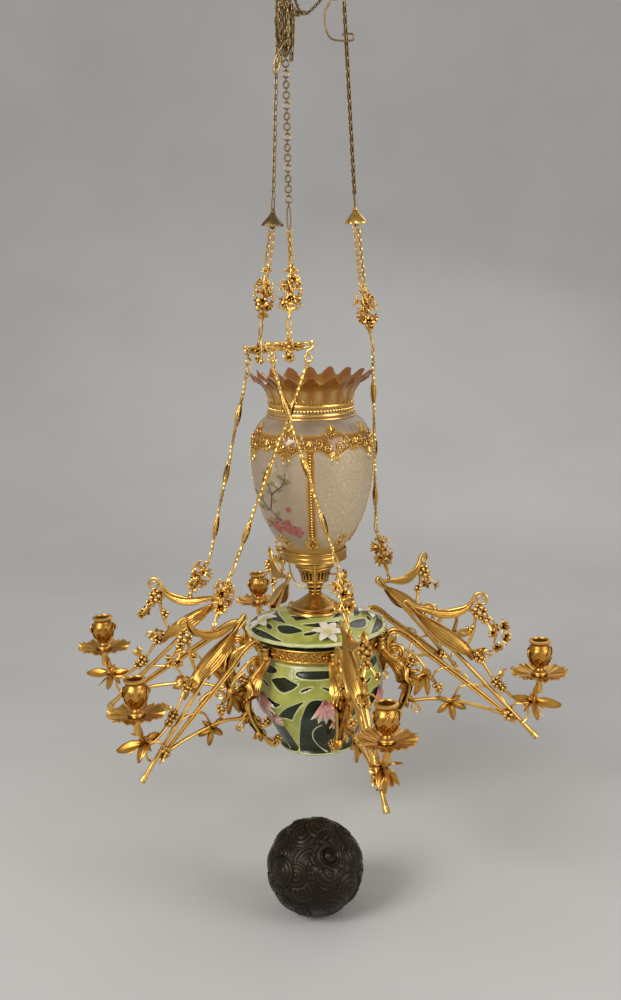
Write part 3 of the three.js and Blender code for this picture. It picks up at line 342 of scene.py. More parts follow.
class Shape(Leafage):
    """All that one piece of the lamp may be made of"""

    def link(self, top, bottom, across, width, wire, count=20, sides=6):
        """An oval wire link between two points: cosines along it, and sines across it that are blunted by a
        power so that its sides run straight"""
        top, bottom = np.asarray(top, float), np.asarray(bottom, float)
        middle, half = (top + bottom) / 2, (top - bottom) / 2
        angle = np.linspace(0, 2 * np.pi, count, endpoint=False)[:, None]
        reach = unit(across) * (width / 2 - wire)
        inner = half * (1 - wire / max(np.linalg.norm(half), 1e-6))
        path = middle + inner * np.cos(angle) + reach * np.sign(np.sin(angle)) * np.abs(np.sin(angle)) ** 0.7
        self.tube(path, wire, side=np.cross(half, reach), sides=sides, loop=True)

    def chain(self, start, end, pitch, width, wire, across, skew=0.0):
        """Links that hang in each other, each turned a quarter against the last"""
        start, end = np.asarray(start, float), np.asarray(end, float)
        count = max(2, round(np.linalg.norm(end - start) / pitch))
        step = (end - start) / count
        along = unit(step)
        side = unit(np.cross(along, across))
        other = np.cross(side, along)
        for i in range(count):
            turn = skew + (math.pi / 2 if i % 2 else 0.0)
            direction = math.cos(turn) * side + math.sin(turn) * other
            grip = along * wire
            self.link(start + i * step - grip, start + (i + 1) * step + grip, direction, width, wire,
                      count=14, sides=5)

    def lily(self, centre, facing, radius, petals=6, open_up=0.55, turn=0.0, throat=0.32):
        """An open lily: pointed petals that curve back from a throat, with stamens"""
        facing = unit(facing)
        first = unit(np.cross(facing, [0.21, 0.35, 0.91]))
        second = np.cross(facing, first)
        centre = np.asarray(centre, float)
        t = np.linspace(0, 1, 9)
        for i in range(petals):
            angle = turn + 2 * np.pi * i / petals
            out = math.cos(angle) * first + math.sin(angle) * second
            reach = radius * (0.08 + 0.92 * t)
            height = radius * open_up * (np.sin(t * 2.2) - 0.35 * t ** 3)
            path = centre + out * reach[:, None] + facing * height[:, None]
            width = radius * throat * np.sin(np.pi * np.clip(0.16 + 0.84 * t, 0, 0.985)) ** 0.8
            self.blade(path, width, side=np.cross(facing, out), thickness=0.05 * radius + 0.5, fold=-0.35,
                       ribs=2, rib=0.08, columns=7)
        for i in range(3):
            angle = turn + 0.5 + 2 * np.pi * i / 3
            out = math.cos(angle) * first + math.sin(angle) * second
            tip = centre + facing * radius * 0.75 + out * radius * 0.2
            self.tube(resampled([centre, (centre + tip) / 2 + facing, tip], 5), 0.035 * radius + 0.2,
                      side=first, sides=5)
            self.ball(tip, 0.07 * radius + 0.3, rows=4, columns=6)

    def bud(self, base, tip, radius):
        """A closed flower bud with ribs"""
        path = resampled([base, (np.asarray(base) + tip) / 2, tip], 9)
        t = np.linspace(0, 1, 9)
        self.tube(path, radius * np.sin(np.pi * np.clip(0.12 + 0.8 * t, 0, 1)) ** 0.8 + 0.2,
                  side=(0.2, 0.9, 0.3), sides=12, ridge=0.14, twist=0.8)

    def grapes(self, centre, axis, length, radius, berry, count, seed):
        """A bunch of berries round an axis, wide at its top and pointed at its foot"""
        rng = np.random.default_rng(seed)
        axis = unit(axis)
        first = unit(np.cross(axis, [0.2, 0.9, 0.4]))
        second = np.cross(axis, first)
        for i in range(count):
            share = i / (count - 1)
            reach = radius * (1 - share) ** 0.6 * (0.75 + 0.25 * rng.random())
            angle = i * 2.4 + 0.5 * rng.random()
            spot = np.asarray(centre, float) + axis * length * share
            spot = spot + (first * math.cos(angle) + second * math.sin(angle)) * reach
            self.ball(spot, berry * (1.05 - 0.3 * share), rows=5, columns=7)


def swell(n, start, middle, end, peak=0.5):
    """Half widths that grow from a start to a peak and narrow to an end, each way by a quarter of a sine
    wave"""
    t = np.linspace(0, 1, n)
    rise = np.where(t < peak, t / peak, (1 - t) / (1 - peak))
    least = np.where(t < peak, start, end)
    return least + (middle - least) * np.sin(rise * np.pi / 2)


sample = Shape()
sample.link((0, 0, 0), (0, 0, -9), (1, 0, 0), 8, 1.3)
print("a link has", len(sample.faces), "faces")

# %% [markdown]
# From a Shape to an object
#
# The CAD model moves: the lamp rises, the shade lifts off, the knob turns. So each object has to ride on
# one of its bodies, and to say which plain CAD node it takes the place of. A script could set this for each
# object by hand, and might forget one. One function does it for all, and prints what it made.

# %% Pieces: a Shape becomes an object that rides on a body


def piece(name, shape, material, body, replaces=(), slot=None, crease=45.0, angle=None, base=(0, 0, 0)):
    """One object from a Shape, in metres. A Shape in the arm's plane is first turned to its compass angle."""
    spots = np.vstack(shape.spots)
    if angle is not None:
        spots = spun(spots, angle)
    spots = (spots + np.asarray(base, float)) * 0.001
    mesh = bpy.data.meshes.new(name)
    mesh.from_pydata(spots.tolist(), [], shape.faces)
    for mark, values in shape.marks.items():
        attribute = mesh.attributes.new(mark, "FLOAT", "POINT")
        attribute.data.foreach_set("value", np.concatenate(values))
    mesh.validate()
    mesh.shade_smooth()
    mesh.set_sharp_from_angle(angle=math.radians(crease))
    mesh.materials.append(material)
    thing = bpy.data.objects.new(name, mesh)
    bpy.context.scene.collection.objects.link(thing)
    if replaces:
        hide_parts(*replaces)
    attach(thing, body)
    print(name, "has", len(mesh.polygons), "faces and rides on", body)
    return thing


def dress(node, shape, material, slot, body="lamp", level=0.0, **options):
    """An object in the place of one CAD node, laid out round a level above or below the carrier ring's
    middle"""
    return piece(node + "_dressed", shape, material, body, (node,), slot, base=(0, 0, level - DROP),
                 **options)


def ends(node):
    """The middles of a CAD node's highest and lowest corners"""
    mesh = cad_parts[node].data
    spots = np.empty(len(mesh.vertices) * 3)
    mesh.vertices.foreach_get("co", spots)
    spots = spots.reshape(-1, 3) * 1000
    high, low = spots[:, 2].max(), spots[:, 2].min()
    return spots[spots[:, 2] > high - 1.0].mean(0), spots[spots[:, 2] < low + 1.0].mean(0)


print("the pot's top stands at", ends("pot")[0].round(1))

# %% [markdown]
# Finishes
#
# The lamp is over a century old: gilding with dirt in its hollows, brass that has gone brown, crazed glaze,
# and glass stained amber. Photographs on the surfaces would fix the light in them, and need a flat layout
# of every casting. Noise, the depth of a hollow and the sharpness of an edge work on any shape, so each
# finish is a small tree of nodes. The dark that the depth of a hollow gives the metals is painted shade as
# well as dirt.

# %% Materials, each made of nodes


class Paint:
    """A material in the making, to which each call adds a node and joins what feeds it"""

    def __init__(self, name):
        """A new material with one shader"""
        self.material = bpy.data.materials.new(name)
        self.material.use_nodes = True
        self.tree = self.material.node_tree
        self.shader = self.tree.nodes["Principled BSDF"]

    def node(self, kind, feeds=(), **settings):
        """A new node, with its settings and with what feeds its sockets"""
        made = self.tree.nodes.new("ShaderNode" + kind)
        for key, value in settings.items():
            setattr(made, key, value)
        for key, value in dict(feeds).items():
            self.feed(made.inputs[key], value)
        return made

    def feed(self, socket, value):
        """A socket takes another node's output, or a plain value"""
        if isinstance(value, bpy.types.NodeSocket):
            self.tree.links.new(value, socket)
        else:
            socket.default_value = value

    def shade(self, **feeds):
        """Feeds for the shader, with _ for each space in a socket's name"""
        for key, value in feeds.items():
            self.feed(self.shader.inputs[key.replace("_", " ")], value)

    def noise(self, scale, detail=4.0):
        """Cloudy noise from 0 to 1, with so many waves to a metre"""
        place = self.node("TexCoord").outputs["Object"]
        feeds = {"Vector": place, "Scale": scale, "Detail": detail, "Roughness": 0.6}
        return self.node("TexNoise", feeds).outputs["Fac"]

    def ramp(self, value, *stops):
        """A colour for each value, blended between stops of (value, colour)"""
        made = self.node("ValToRGB", {"Fac": value})
        elements = made.color_ramp.elements
        while len(elements) < len(stops):
            elements.new(0.5)
        for element, (place, colour) in zip(elements, stops):
            element.position = place
            element.color = (*colour, 1.0)
        return made.outputs["Color"]

    def span(self, value, low, high, to_low=0.0, to_high=1.0):
        """A value's place between low and high, laid out between two others and held there"""
        return self.node("MapRange", {0: value, 1: low, 2: high, 3: to_low, 4: to_high}).outputs[0]

    def math(self, kind, a, b):
        """The sum or product of two values"""
        return self.node("Math", {0: a, 1: b}, operation=kind).outputs[0]

    def blend(self, share, a, b):
        """One colour where the share is 0, another where it is 1"""
        made = self.node("Mix", data_type="RGBA", blend_type="MIX")
        for index, value in ((0, share), (6, a), (7, b)):
            if not isinstance(value, bpy.types.NodeSocket) and index:
                value = (*value, 1.0)
            self.feed(made.inputs[index], value)
        return made.outputs[2]

    def mark(self, name):
        """The values that a Shape gave its points under a name"""
        return self.node("Attribute", attribute_name=name).outputs["Fac"]

    def bump(self, height, strength=0.3, distance=0.0005):
        """Surface directions leaned by a height, which is at most the distance in metres"""
        return self.node("Bump", {"Height": height, "Strength": strength,
                                  "Distance": distance}).outputs["Normal"]


def linear(red, green, blue):
    """A colour given as a screen shows it, from 0 to 255, as an amount of light: nearly its power of 2.4"""
    return tuple(((c / 255 + 0.055) / 1.055) ** 2.4 if c > 10 else c / 255 / 12.92
                 for c in (red, green, blue))


print("a middle grey gives back", round(linear(118, 118, 118)[0], 2), "of the light")

# %% [markdown]
# Old gilding and brass
#
# Gilding wears off edges, where it shines, and is never wiped in hollows, where it is brown. One even
# colour looks like plastic on so many leaves. The colour follows the depth of the hollow and the sharpness
# of the edge, and a slow noise stands for patches of dirt. The dark in the hollows comes from ambient
# occlusion, so it is painted shade as well as dirt.

# %% Metals


def metal(name, dark, middle, light, rough=(0.24, 0.5), grain=0.25, reach=0.006):
    """An old cast metal: dark in its hollows, from dirt and painted shade, bright on its worn edges, with a
    fine cast grain
    """
    paint = Paint(name)
    # painted shade: ambient occlusion darkens the hollows, and stands for the dirt in them as well
    hollow_dirt_and_shade = paint.node("AmbientOcclusion", {"Distance": reach}, samples=4).outputs["AO"]
    edge = paint.node("NewGeometry").outputs["Pointiness"]
    worn = paint.span(edge, 0.46, 0.56)
    patch = paint.noise(40.0, 5.0)
    height = paint.math("ADD", paint.math("MULTIPLY", hollow_dirt_and_shade, 0.62), paint.math("MULTIPLY", worn, 0.26))
    height = paint.math("ADD", height, paint.math("MULTIPLY", patch, 0.22))
    colour = paint.ramp(height, (0.36, dark), (0.74, middle), (1.0, light))
    fine = paint.noise(1400.0, 3.0)
    rough_value = paint.span(paint.noise(90.0, 6.0), 0.3, 0.7, *rough)
    paint.shade(Base_Color=colour, Metallic=1.0, Roughness=rough_value,
                Normal=paint.bump(fine, grain, 0.0003))
    return paint.material


gilt = metal("gilt", linear(56, 32, 8), linear(196, 138, 50), linear(250, 206, 116), rough=(0.24, 0.42),
             grain=0.25)
fine_gilt = metal("fine_gilt", linear(72, 42, 10), linear(204, 146, 56), linear(252, 210, 120),
                  rough=(0.24, 0.42), grain=0.2, reach=0.003)
old_gilt = metal("old_gilt", linear(40, 22, 6), linear(176, 122, 46), linear(238, 188, 100),
                 rough=(0.28, 0.48), grain=0.3, reach=0.004)
old_brass = metal("old_brass", linear(28, 22, 14), linear(96, 78, 52), linear(160, 132, 88),
                  rough=(0.35, 0.6))
satin = metal("satin_brass", linear(80, 50, 18), linear(180, 130, 56), linear(232, 188, 108),
              rough=(0.26, 0.42), grain=0.12)
bright_gilt = metal("bright_gilt", linear(120, 66, 12), linear(216, 148, 52), linear(250, 208, 120),
                    rough=(0.2, 0.34), grain=0.1, reach=0.002)


# %% [markdown]
# Glaze and painted petals
#
# Majolica is earthenware under coloured lead glazes that pool in sunk cells. The edges of the cells could
# be drawn as a picture, but here the points of the mesh already know how far they are from an outline. The
# material reads that distance, so glaze and relief can't drift apart.

# %% Glazes


def glaze_material():
    """Majolica: light green with dark green cells, thin cream outlines and a cream curl in each arch"""
    paint = Paint("majolica")
    cell, line = paint.mark("cell"), paint.mark("line")
    cloud = paint.noise(28.0, 5.0)
    speck = paint.noise(420.0, 2.0)
    green = paint.ramp(cloud, (0.3, linear(142, 148, 56)), (0.55, linear(180, 182, 86)),
                       (0.8, linear(204, 204, 120)))
    dark = paint.ramp(cloud, (0.3, linear(22, 30, 12)), (0.7, linear(42, 52, 24)))
    cream = paint.ramp(speck, (0.3, linear(196, 196, 130)), (0.7, linear(222, 220, 170)))
    base = paint.blend(paint.span(cell, -2.3, -1.3), green, cream)
    base = paint.blend(paint.span(line, 0.3, 0.9), base, cream)
    base = paint.blend(paint.span(cell, -0.2, 0.4), base, dark)
    base = paint.blend(paint.span(paint.mark("curl"), 0.9, 1.6), cream, base)
    paint.shade(Base_Color=base, Roughness=paint.span(paint.noise(60.0, 3.0), 0.3, 0.7, 0.18, 0.34),
                Coat_Weight=0.2, Specular_IOR_Level=0.35, Coat_Roughness=0.12,
                Normal=paint.bump(paint.noise(120.0, 4.0), 0.12, 0.0006))
    return paint.material


def petal_material(name, *stops):
    """The same glaze over petals: a run of colours from the throat to the tip, with pale veins"""
    paint = Paint(name)
    tone = paint.noise(55.0, 3.0)
    tip = paint.math("ADD", paint.mark("tip"), paint.span(tone, 0.3, 0.7, -0.12, 0.12))
    run = paint.ramp(tip, *stops)
    base = paint.blend(paint.span(paint.mark("vein"), 0.2, 1.0, 0.0, 0.5), run, linear(238, 218, 200))
    paint.shade(Base_Color=base, Roughness=paint.span(tone, 0.3, 0.7, 0.1, 0.22), Coat_Weight=0.6,
                Coat_Roughness=0.08, Normal=paint.bump(paint.noise(200.0, 3.0), 0.15, 0.0004))
    return paint.material


# %% [markdown]
# Glass, enamel, iron and cotton
#
# The globe is clear glass etched dull, and stained amber at its crown. It could be a volume with colour in
# it, but that is slow and shows little on a wall of 2 mm. A surface that lets part of the light through,
# with the stain as a value on the points, does it. The others are plain finishes with a little noise.

# %% Glass, enamel, iron and cotton


def globe_material():
    """Frosted glass that turns amber at its crown, its border and its ribs. Where the frost mark is high it
    is etched and lighter, which is etching and a painted glow."""
    paint = Paint("frosted_glass")
    amber, frost = paint.mark("amber"), paint.mark("frost")
    place = paint.node("TexCoord").outputs["Object"]
    cloud = paint.noise(14.0, 4.0)
    fern = paint.node("TexVoronoi", {"Vector": place, "Scale": 420.0},
                      feature="DISTANCE_TO_EDGE").outputs["Distance"]
    pale = paint.ramp(cloud, (0.3, linear(156, 134, 110)), (0.7, linear(190, 170, 142)))
    etched = paint.blend(paint.span(fern, 0.0, 0.2), linear(240, 220, 180), linear(186, 160, 124))
    # painted glow: the etched colour is lighter and warmer, and rises with the frost mark towards the middles
    # of the etched panels
    glass = paint.blend(frost, pale, etched)
    tint = paint.ramp(amber, (0.0, linear(196, 178, 142)), (0.3, linear(190, 150, 72)),
                      (0.6, linear(176, 118, 32)), (0.82, linear(174, 116, 26)), (1.0, linear(164, 94, 14)))
    colour = paint.blend(paint.span(amber, 0.04, 0.3), glass, tint)
    height = paint.math("ADD", paint.math("MULTIPLY", fern, frost), paint.noise(300.0, 3.0))
    paint.shade(Base_Color=colour, Roughness=paint.span(amber, 0.1, 0.6, 0.42, 0.18),
                Transmission_Weight=paint.span(amber, 0.35, 0.8, 0.22, 0.42), IOR=1.45, Coat_Weight=0.4,
                Coat_Roughness=0.12, Normal=paint.bump(height, 0.25, 0.0004))
    return paint.material


def clear_glass_material():
    """Thin clear glass with faint streaks"""
    paint = Paint("clear_glass")
    streak = paint.noise(24.0, 3.0)
    paint.shade(Base_Color=paint.ramp(streak, (0.3, (0.93, 0.95, 0.93)), (0.7, (0.98, 0.99, 0.98))),
                Roughness=0.04, Transmission_Weight=1.0, IOR=1.47, Normal=paint.bump(streak, 0.05, 0.001))
    return paint.material


def enamel_material(name, first, second):
    """Dull painted enamel, cloudy between two colours"""
    paint = Paint(name)
    tone = paint.noise(300.0, 3.0)
    paint.shade(Base_Color=paint.ramp(tone, (0.3, first), (0.7, second)), Roughness=0.45,
                Normal=paint.bump(tone, 0.1, 0.0002))
    return paint.material


def iron_material():
    """Dark bronzed iron with a brown rub on the crests of its waves"""
    paint = Paint("dark_iron")
    crest = paint.mark("crest")
    patch = paint.noise(30.0, 6.0)
    rub = paint.math("MULTIPLY", paint.span(crest, 0.5, 1.0), paint.span(patch, 0.45, 0.65))
    colour = paint.blend(rub, linear(44, 35, 26), linear(112, 88, 62))
    colour = paint.blend(paint.span(patch, 0.35, 0.7, 0.0, 0.5), colour, linear(22, 18, 13))
    paint.shade(Base_Color=colour, Metallic=0.75, Roughness=paint.span(patch, 0.3, 0.7, 0.24, 0.5),
                Normal=paint.bump(paint.noise(500.0, 5.0), 0.4, 0.0005))
    return paint.material


def cotton_material():
    """Woven cotton: fine waves across the strip, pale on their crests"""
    paint = Paint("cotton")
    place = paint.node("TexCoord").outputs["Object"]
    weave = paint.node("TexWave", {"Vector": place, "Scale": 420.0, "Distortion": 1.0}).outputs["Fac"]
    paint.shade(Base_Color=paint.ramp(weave, (0.2, linear(196, 186, 158)), (0.8, linear(232, 226, 206))),
                Roughness=0.95, Normal=paint.bump(weave, 0.5, 0.0004))
    return paint.material


# %% The finishes that the pieces use
majolica = glaze_material()
lily_glaze = petal_material("lily_glaze", (0.05, linear(170, 84, 82)), (0.4, linear(212, 142, 132)),
                            (0.72, linear(228, 190, 172)), (0.95, linear(222, 216, 172)))
white_glaze = petal_material("white_glaze", (0.05, linear(196, 184, 110)), (0.3, linear(226, 214, 186)),
                             (0.95, linear(238, 230, 214)))
frosted = globe_material()
clear_glass = clear_glass_material()
iron = iron_material()
cotton = cotton_material()
rose = enamel_material("rose_enamel", linear(132, 56, 52), linear(184, 112, 98))
faded_rose = enamel_material("faded_enamel", linear(158, 136, 104), linear(206, 180, 158))
leaf_green = enamel_material("leaf_enamel", linear(104, 98, 54), linear(150, 142, 88))
twig_brown = enamel_material("twig_enamel", linear(70, 52, 50), linear(108, 84, 78))

print("finishes:", len(bpy.data.materials))

# %% [markdown]
# Camera and light
#
# The picture was taken from the front, level with the arms and a little from above, with a lens near 45 mm.
# The camera stands where the ellipses of the lid, the crown and the pans open as far as they do in it. The
# light is soft and comes from the left, so three large lamps and a grey world do, with no picture of a
# room.

# %% Camera and light
camera = bpy.data.objects.new("camera", bpy.data.cameras.new("camera"))
camera.data.sensor_width = 36.0
camera.data.lens = 44.75
camera.matrix_world = (Matrix.Translation((-0.004, -1.883, -0.430))
                       @ Matrix.Rotation(math.radians(78.6), 4, "X")
                       @ Matrix.Rotation(math.radians(-1.3), 4, "Z"))
bpy.context.scene.collection.objects.link(camera)
bpy.context.scene.camera = camera
bpy.context.scene.view_settings.view_transform = "Standard"


def lamp_light(name, place, aim, size, power):
    """A square lamp. It is leaned and turned so that its -Z runs from its place to its aim"""
    light = bpy.data.lights.new(name, "AREA")
    light.size, light.energy = size, power
    thing = bpy.data.objects.new(name, light)
    bpy.context.scene.collection.objects.link(thing)
    thing.location = place
    direction = np.subtract(aim, place)
    thing.rotation_euler = (math.acos(-direction[2] / np.linalg.norm(direction)), 0,
                            math.atan2(direction[1], direction[0]) - math.pi / 2)


lamp_light("key_light", (-1.9, -2.2, 0.7), (0, 0, -0.75), 1.3, 62)
lamp_light("fill_light", (2.3, -1.7, 0.0), (0, 0, -0.8), 1.7, 34)
lamp_light("rim_light", (0.9, 2.3, 0.9), (0, 0, -0.8), 1.9, 16)
world = bpy.data.worlds.new("studio")
world.use_nodes = True
world.node_tree.nodes["Background"].inputs["Color"].default_value = (0.86, 0.86, 0.86, 1)
world.node_tree.nodes["Background"].inputs["Strength"].default_value = 0.42
bpy.context.scene.world = world
print("lens:", camera.data.lens, "mm, lights:", len(bpy.data.lights))

# %% [markdown]
# Floor and backdrop
#
# The lamp hangs before grey cloth, and its ball stands on the floor. Two planes would meet in a hard line
# behind it. One sheet that runs flat and then bends up in a quarter circle has no such line.

# %% Floor and backdrop, one sheet that curves up behind the lamp
room = Shape()
bend, back = 2.2, 1.6              # the sheet's bend and where it starts behind the lamp, in metres
ground = -1.3332                   # just under the ball, in metres
quarter = np.linspace(0, np.pi / 2, 60)
curve = np.stack([0 * quarter, back + bend * np.sin(quarter), bend * (1 - np.cos(quarter)) + ground], 1)
sweep_up = np.vstack([[0, -7, ground], curve, [0, back + bend, 6]])
wide = np.linspace(-8, 8, 5)
sheet = sweep_up[:, None] * [0, 1, 1] + wide[None, :, None] * [1, 0, 0]
room.skin(sheet * 1000, around=False, caps=False)
paper = Paint("paper")
paper_tone = paper.noise(1.3, 3.0)
paper.shade(Base_Color=paper.ramp(paper_tone, (0.3, linear(196, 194, 190)), (0.7, linear(206, 204, 200))),
            Roughness=0.9)
floor = piece("floor", room, paper.material, "ceiling")

# %% [markdown]
# Things that hang
#
# Each chain, cap, rosette, rod and pendant hangs in the eye of the one above. They could be modelled where
# they hang, each along its own slanting line. It is simpler to build every one straight down from its eye,
# and to turn it as a whole until its foot lies where the CAD node's foot is.

# %% Hanging things: built downwards from an eye at the origin, then hung between two points


def hung(shape, top, bottom, angle):
    """Moves a shape so that its -Z runs from one point towards another, and its -Y faces the compass angle"""
    up = unit(np.subtract(top, bottom))
    turn = math.radians(angle)
    along = np.array([math.cos(turn), math.sin(turn), 0.0])
    along = unit(along - (along @ up) * up)
    basis = np.array([along, np.cross(up, along), up])
    shape.spots = [spots @ basis + top for spots in shape.spots]
    return shape


def gap(top, bottom):
    """The distance between two points"""
    return float(np.linalg.norm(np.subtract(top, bottom)))


def hang_node(name, build, material, body, angle, slot, **options):
    """Builds a hanging thing as long as its CAD node and hangs it in the node's place"""
    top, bottom = ends(name)
    shape = hung(build(gap(top, bottom), **options), top, bottom, angle)
    return piece(name + "_dressed", shape, material, body, (name,), slot)


print("the front chain is", round(gap(*ends("upper_chain_front"))), "mm long")

# %% [markdown]
# Chains and their caps
#
# The front chain has round rings with a small link between two of them. The side chains are small curb
# chains, and below the caps two fine strands run side by side. Spacing is the length over the pitch,
# rounded, so that the last link always ends in the next eye.

# %% The chains and caps


def round_chain(length):
    """Round rings joined by little links, with a long oval link at the end"""
    shape = Shape()
    tail = 34.0
    count = round((length - tail) / 14.0)
    step = (length - tail) / count
    for i in range(count):
        top = -i * step
        turn = 0.35 * math.sin(2.1 * i)
        facing = [math.cos(turn), math.sin(turn), 0]
        shape.link([0, 0, top], [0, 0, top - step + 2.6], facing, 11.5, 1.35, count=18)
        shape.link([0, 0, top - step + 4.2], [0, 0, top - step - 1.6], [-facing[1], facing[0], 0], 5.0, 0.95,
                   count=12)
    shape.link([0, 0, -length + tail], [0, 0, -length], [1, 0, 0], 7.5, 1.1, count=24)
    return shape


def curb_chain(length):
    """Small twisted links, two and two, with an oval link at the end"""
    shape = Shape()
    tail = 20.0
    count = round((length - tail) / 7.4)
    step = (length - tail) / count
    for i in range(count):
        top = -i * step
        for side in (-0.9, 0.9):
            turn = 0.5 + (math.pi / 2 if i % 2 else 0.0)
            across = np.array([math.cos(turn), math.sin(turn), 0])
            off = side * np.array([-across[1], across[0], 0])
            shape.link(off + [0, 0, top + 1.2], off + [0, 0, top - step - 1.2], across, 6.2, 0.95, count=12,
                       sides=5)
    shape.link([0, 0, -length + tail + 1.2], [0, 0, -length], [1, 0, 0], 8.0, 1.1)
    return shape


def twin_chain(length, spacing):
    """Two strands of small links between two rings, with rungs where the strands stand apart"""
    shape = Shape()
    for z in (0.0, -length + 9.2):
        shape.link([0, 0, z], [0, 0, z - 9.2], [1, 0, 0], 9.2 + spacing, 1.2)
    for side in (-1, 1):
        x = side * spacing
        shape.chain([x, 0, -7.6], [x, 0, -length + 7.6], 6.4, 5.6, 1.0, [1, 0, 0], skew=0.5 * side)
    if spacing > 3:
        for z in np.arange(-13.5, -length + 10, -6.4):
            shape.tube(np.linspace([-spacing, 0, z], [spacing, 0, z], 3), 0.9, sides=6)
    return shape


def chain_cap(length):
    """A scalloped bell with an eye above and a link below"""
    shape = Shape()

    def rim(angle, share):
        """Eight scallops that fade out above the rim"""
        return 1 + 0.13 * np.cos(8 * angle) * np.clip(1 - 2.2 * share, 0, 1)

    shape.lathe([[12, -27], [16.0, -26.0], [13.0, -20], [7.2, -13], [3.6, -8], [2.4, -6.6]], 48, count=22,
                wave=rim)
    shape.lathe([[2.4, -7.5], [4.2, -6.8], [4.2, -5.6], [2.2, -5]], 24)
    shape.link([0, 0, 0], [0, 0, -9], [1, 0, 0], 8, 1.3)
    shape.link([0, 0, -length + 12], [0, 0, -length], [1, 0, 0], 8, 1.3)
    shape.tube(resampled([[0, 0, -8], [0, 0, -length + 12]], 4), 1.4, sides=8)
    return shape


print("a chain cap has", len(chain_cap(40.0).faces), "faces")

# %% [markdown]
# Cast flowers
#
# The rosettes, the spreaders' flowers and the pendants are bunches of a few cast parts: thin curls, florets
# with a bead on each thread, lilies and buds, all on stems that wind round each other. Copies of one bunch
# would show, so a seed gives each its own lean and turn. The rods between them are cast like twigs: their
# radius swells at each knot, and leaf sheaths lie round them.

# %% Tendrils, florets and twisted stems


def tendril(shape, start, bend, turns, size, wire, sense=1):
    """A thin curl that leaves a stem and winds up in a small spiral in the arm's plane"""
    t = np.linspace(0, 1, 30)[:, None]
    angle = sense * turns * 2 * np.pi * t
    radius = size * (1 - 0.75 * t)
    curl = np.asarray(bend, float) + around(radius, angle)[:, 0, [0, 2, 1]]
    stem = resampled([start, (np.asarray(start) + curl[0]) / 2 + [0, 0, 0.2 * size], curl[0]], 8)
    shape.tube(np.vstack([stem[:-1], curl]), np.linspace(wire, wire * 0.6, 37), sides=6)


def stamens(shape, base, facing, size, count=6, bead=1.9):
    """A small cast floret: curved threads that fan out of one point, each with a bead on its tip"""
    base, facing = np.asarray(base, float), unit(facing)
    first = unit(np.cross(facing, [0.3, 0.25, 0.92]))
    second = np.cross(facing, first)
    for i in range(count):
        turn = 2 * np.pi * i / count
        out = math.cos(turn) * first + math.sin(turn) * second
        tip = base + facing * size * 0.75 + out * size * 0.62
        shape.tube(resampled([base, base + facing * size * 0.5 + out * size * 0.2, tip], 7), 1.05, side=first,
                   sides=6)
        shape.ball(tip, bead, rows=5, columns=7, stretch=1.2, axis=out + facing)


def twisted_stems(shape, top, foot, reach, turns, wire):
    """Three stems that wind round each other from top to foot, furthest apart in the middle"""
    t = np.linspace(0, 1, 40)
    for k in range(3):
        turn = 2 * np.pi * (turns * t + k / 3)
        path = around(0.8 + reach * np.sin(np.pi * t), turn, top + (foot - top) * t)
        shape.tube(path, wire * (1 + 0.25 * np.sin(30 * t + k)), side=(0.3, 1, 0), sides=8)


def spray(shape, rng, places, middle, turned, reach, wire, floret, lily, first):
    """Lilies and florets in turn round a stalk. Each place is (compass angle, level, lean), and the first
    place that bears a lily has the given number. Sizes vary by up to a millimetre."""
    for i, (turn, level, lean) in enumerate(places):
        out = polar(1, turn + turned)
        base = np.array([0, 0, middle + level]) + out * reach
        shape.tube(resampled([[0, 0, middle + level - 3], base - [0, 0, 1], base + out], 6), wire, sides=7)
        kind = lily if i % 2 == first else floret
        size, rest = kind["size"] + rng.random(), {key: kind[key] for key in kind if key != "size"}
        if kind is lily:
            shape.lily(base, out + [0, 0, lean], size, turn=rng.random(), **rest)
        else:
            stamens(shape, base, out + [0, 0, lean], size, **rest)


print("stems and florets are ready for", len(HANGERS), "rosettes")

# %% Rosettes and spreaders


def rosette(length, seed):
    """A spray round twisted stems: florets with bead tips, narrow lilies, buds and rolled leaves"""
    shape = Shape()
    rng = np.random.default_rng(seed)
    foot = -length + 22.0
    shape.link([0, 0, 0], [0, 0, -9], [0, 1, 0], 8, 1.3)
    shape.tube(np.linspace([0, 0, -7], [0, 0, foot - 0.8], 12), 1.9, sides=8)
    twisted_stems(shape, -9, foot + 1, 3.6, 1.2, 1.7)
    middle = (foot - 8) / 2
    places = ((15, 6, 0.2), (75, -6, -0.2), (150, 2, 0.5), (200, -12, -0.3), (265, 8, 0.1), (320, -9, -0.5),
              (110, 16, 0.6), (340, 17, 0.5))
    spray(shape, rng, places, middle, 12 * seed, 6.5, 1.5, {"size": 11.0, "count": 6},
          {"size": 10.5, "open_up": 0.75, "throat": 0.26}, 1)
    for side in (-1, 1):
        stamens(shape, [side * 2, 0, -14], [side * 0.7, 0.2 * side, 0.8], 8.5, count=5, bead=1.6)
        shape.bud([side * 2, 1, foot + 16], [side * 10, 2, foot + 9], 3.0)
        tendril(shape, [0, 0, middle - 10], [side * 13, 2 * side, middle - 19], 1.2, 5, 1.3, sense=side)
        for k in range(2):
            z = foot + 22 + 26 * k
            path = resampled([[0, 0, z], [side * 7, 3 * side, z + 3], [side * 13, 4 * side, z - 5]], 12)
            shape.blade(path, swell(12, 1.6, 3.8, 0.5, peak=0.45), side=(0, 0.6, 1), fold=0.6, thickness=1.5)
    shape.link([0, 0, foot], [0, 0, -length], [1, 0, 0], 9, 1.3, count=26)
    return shape


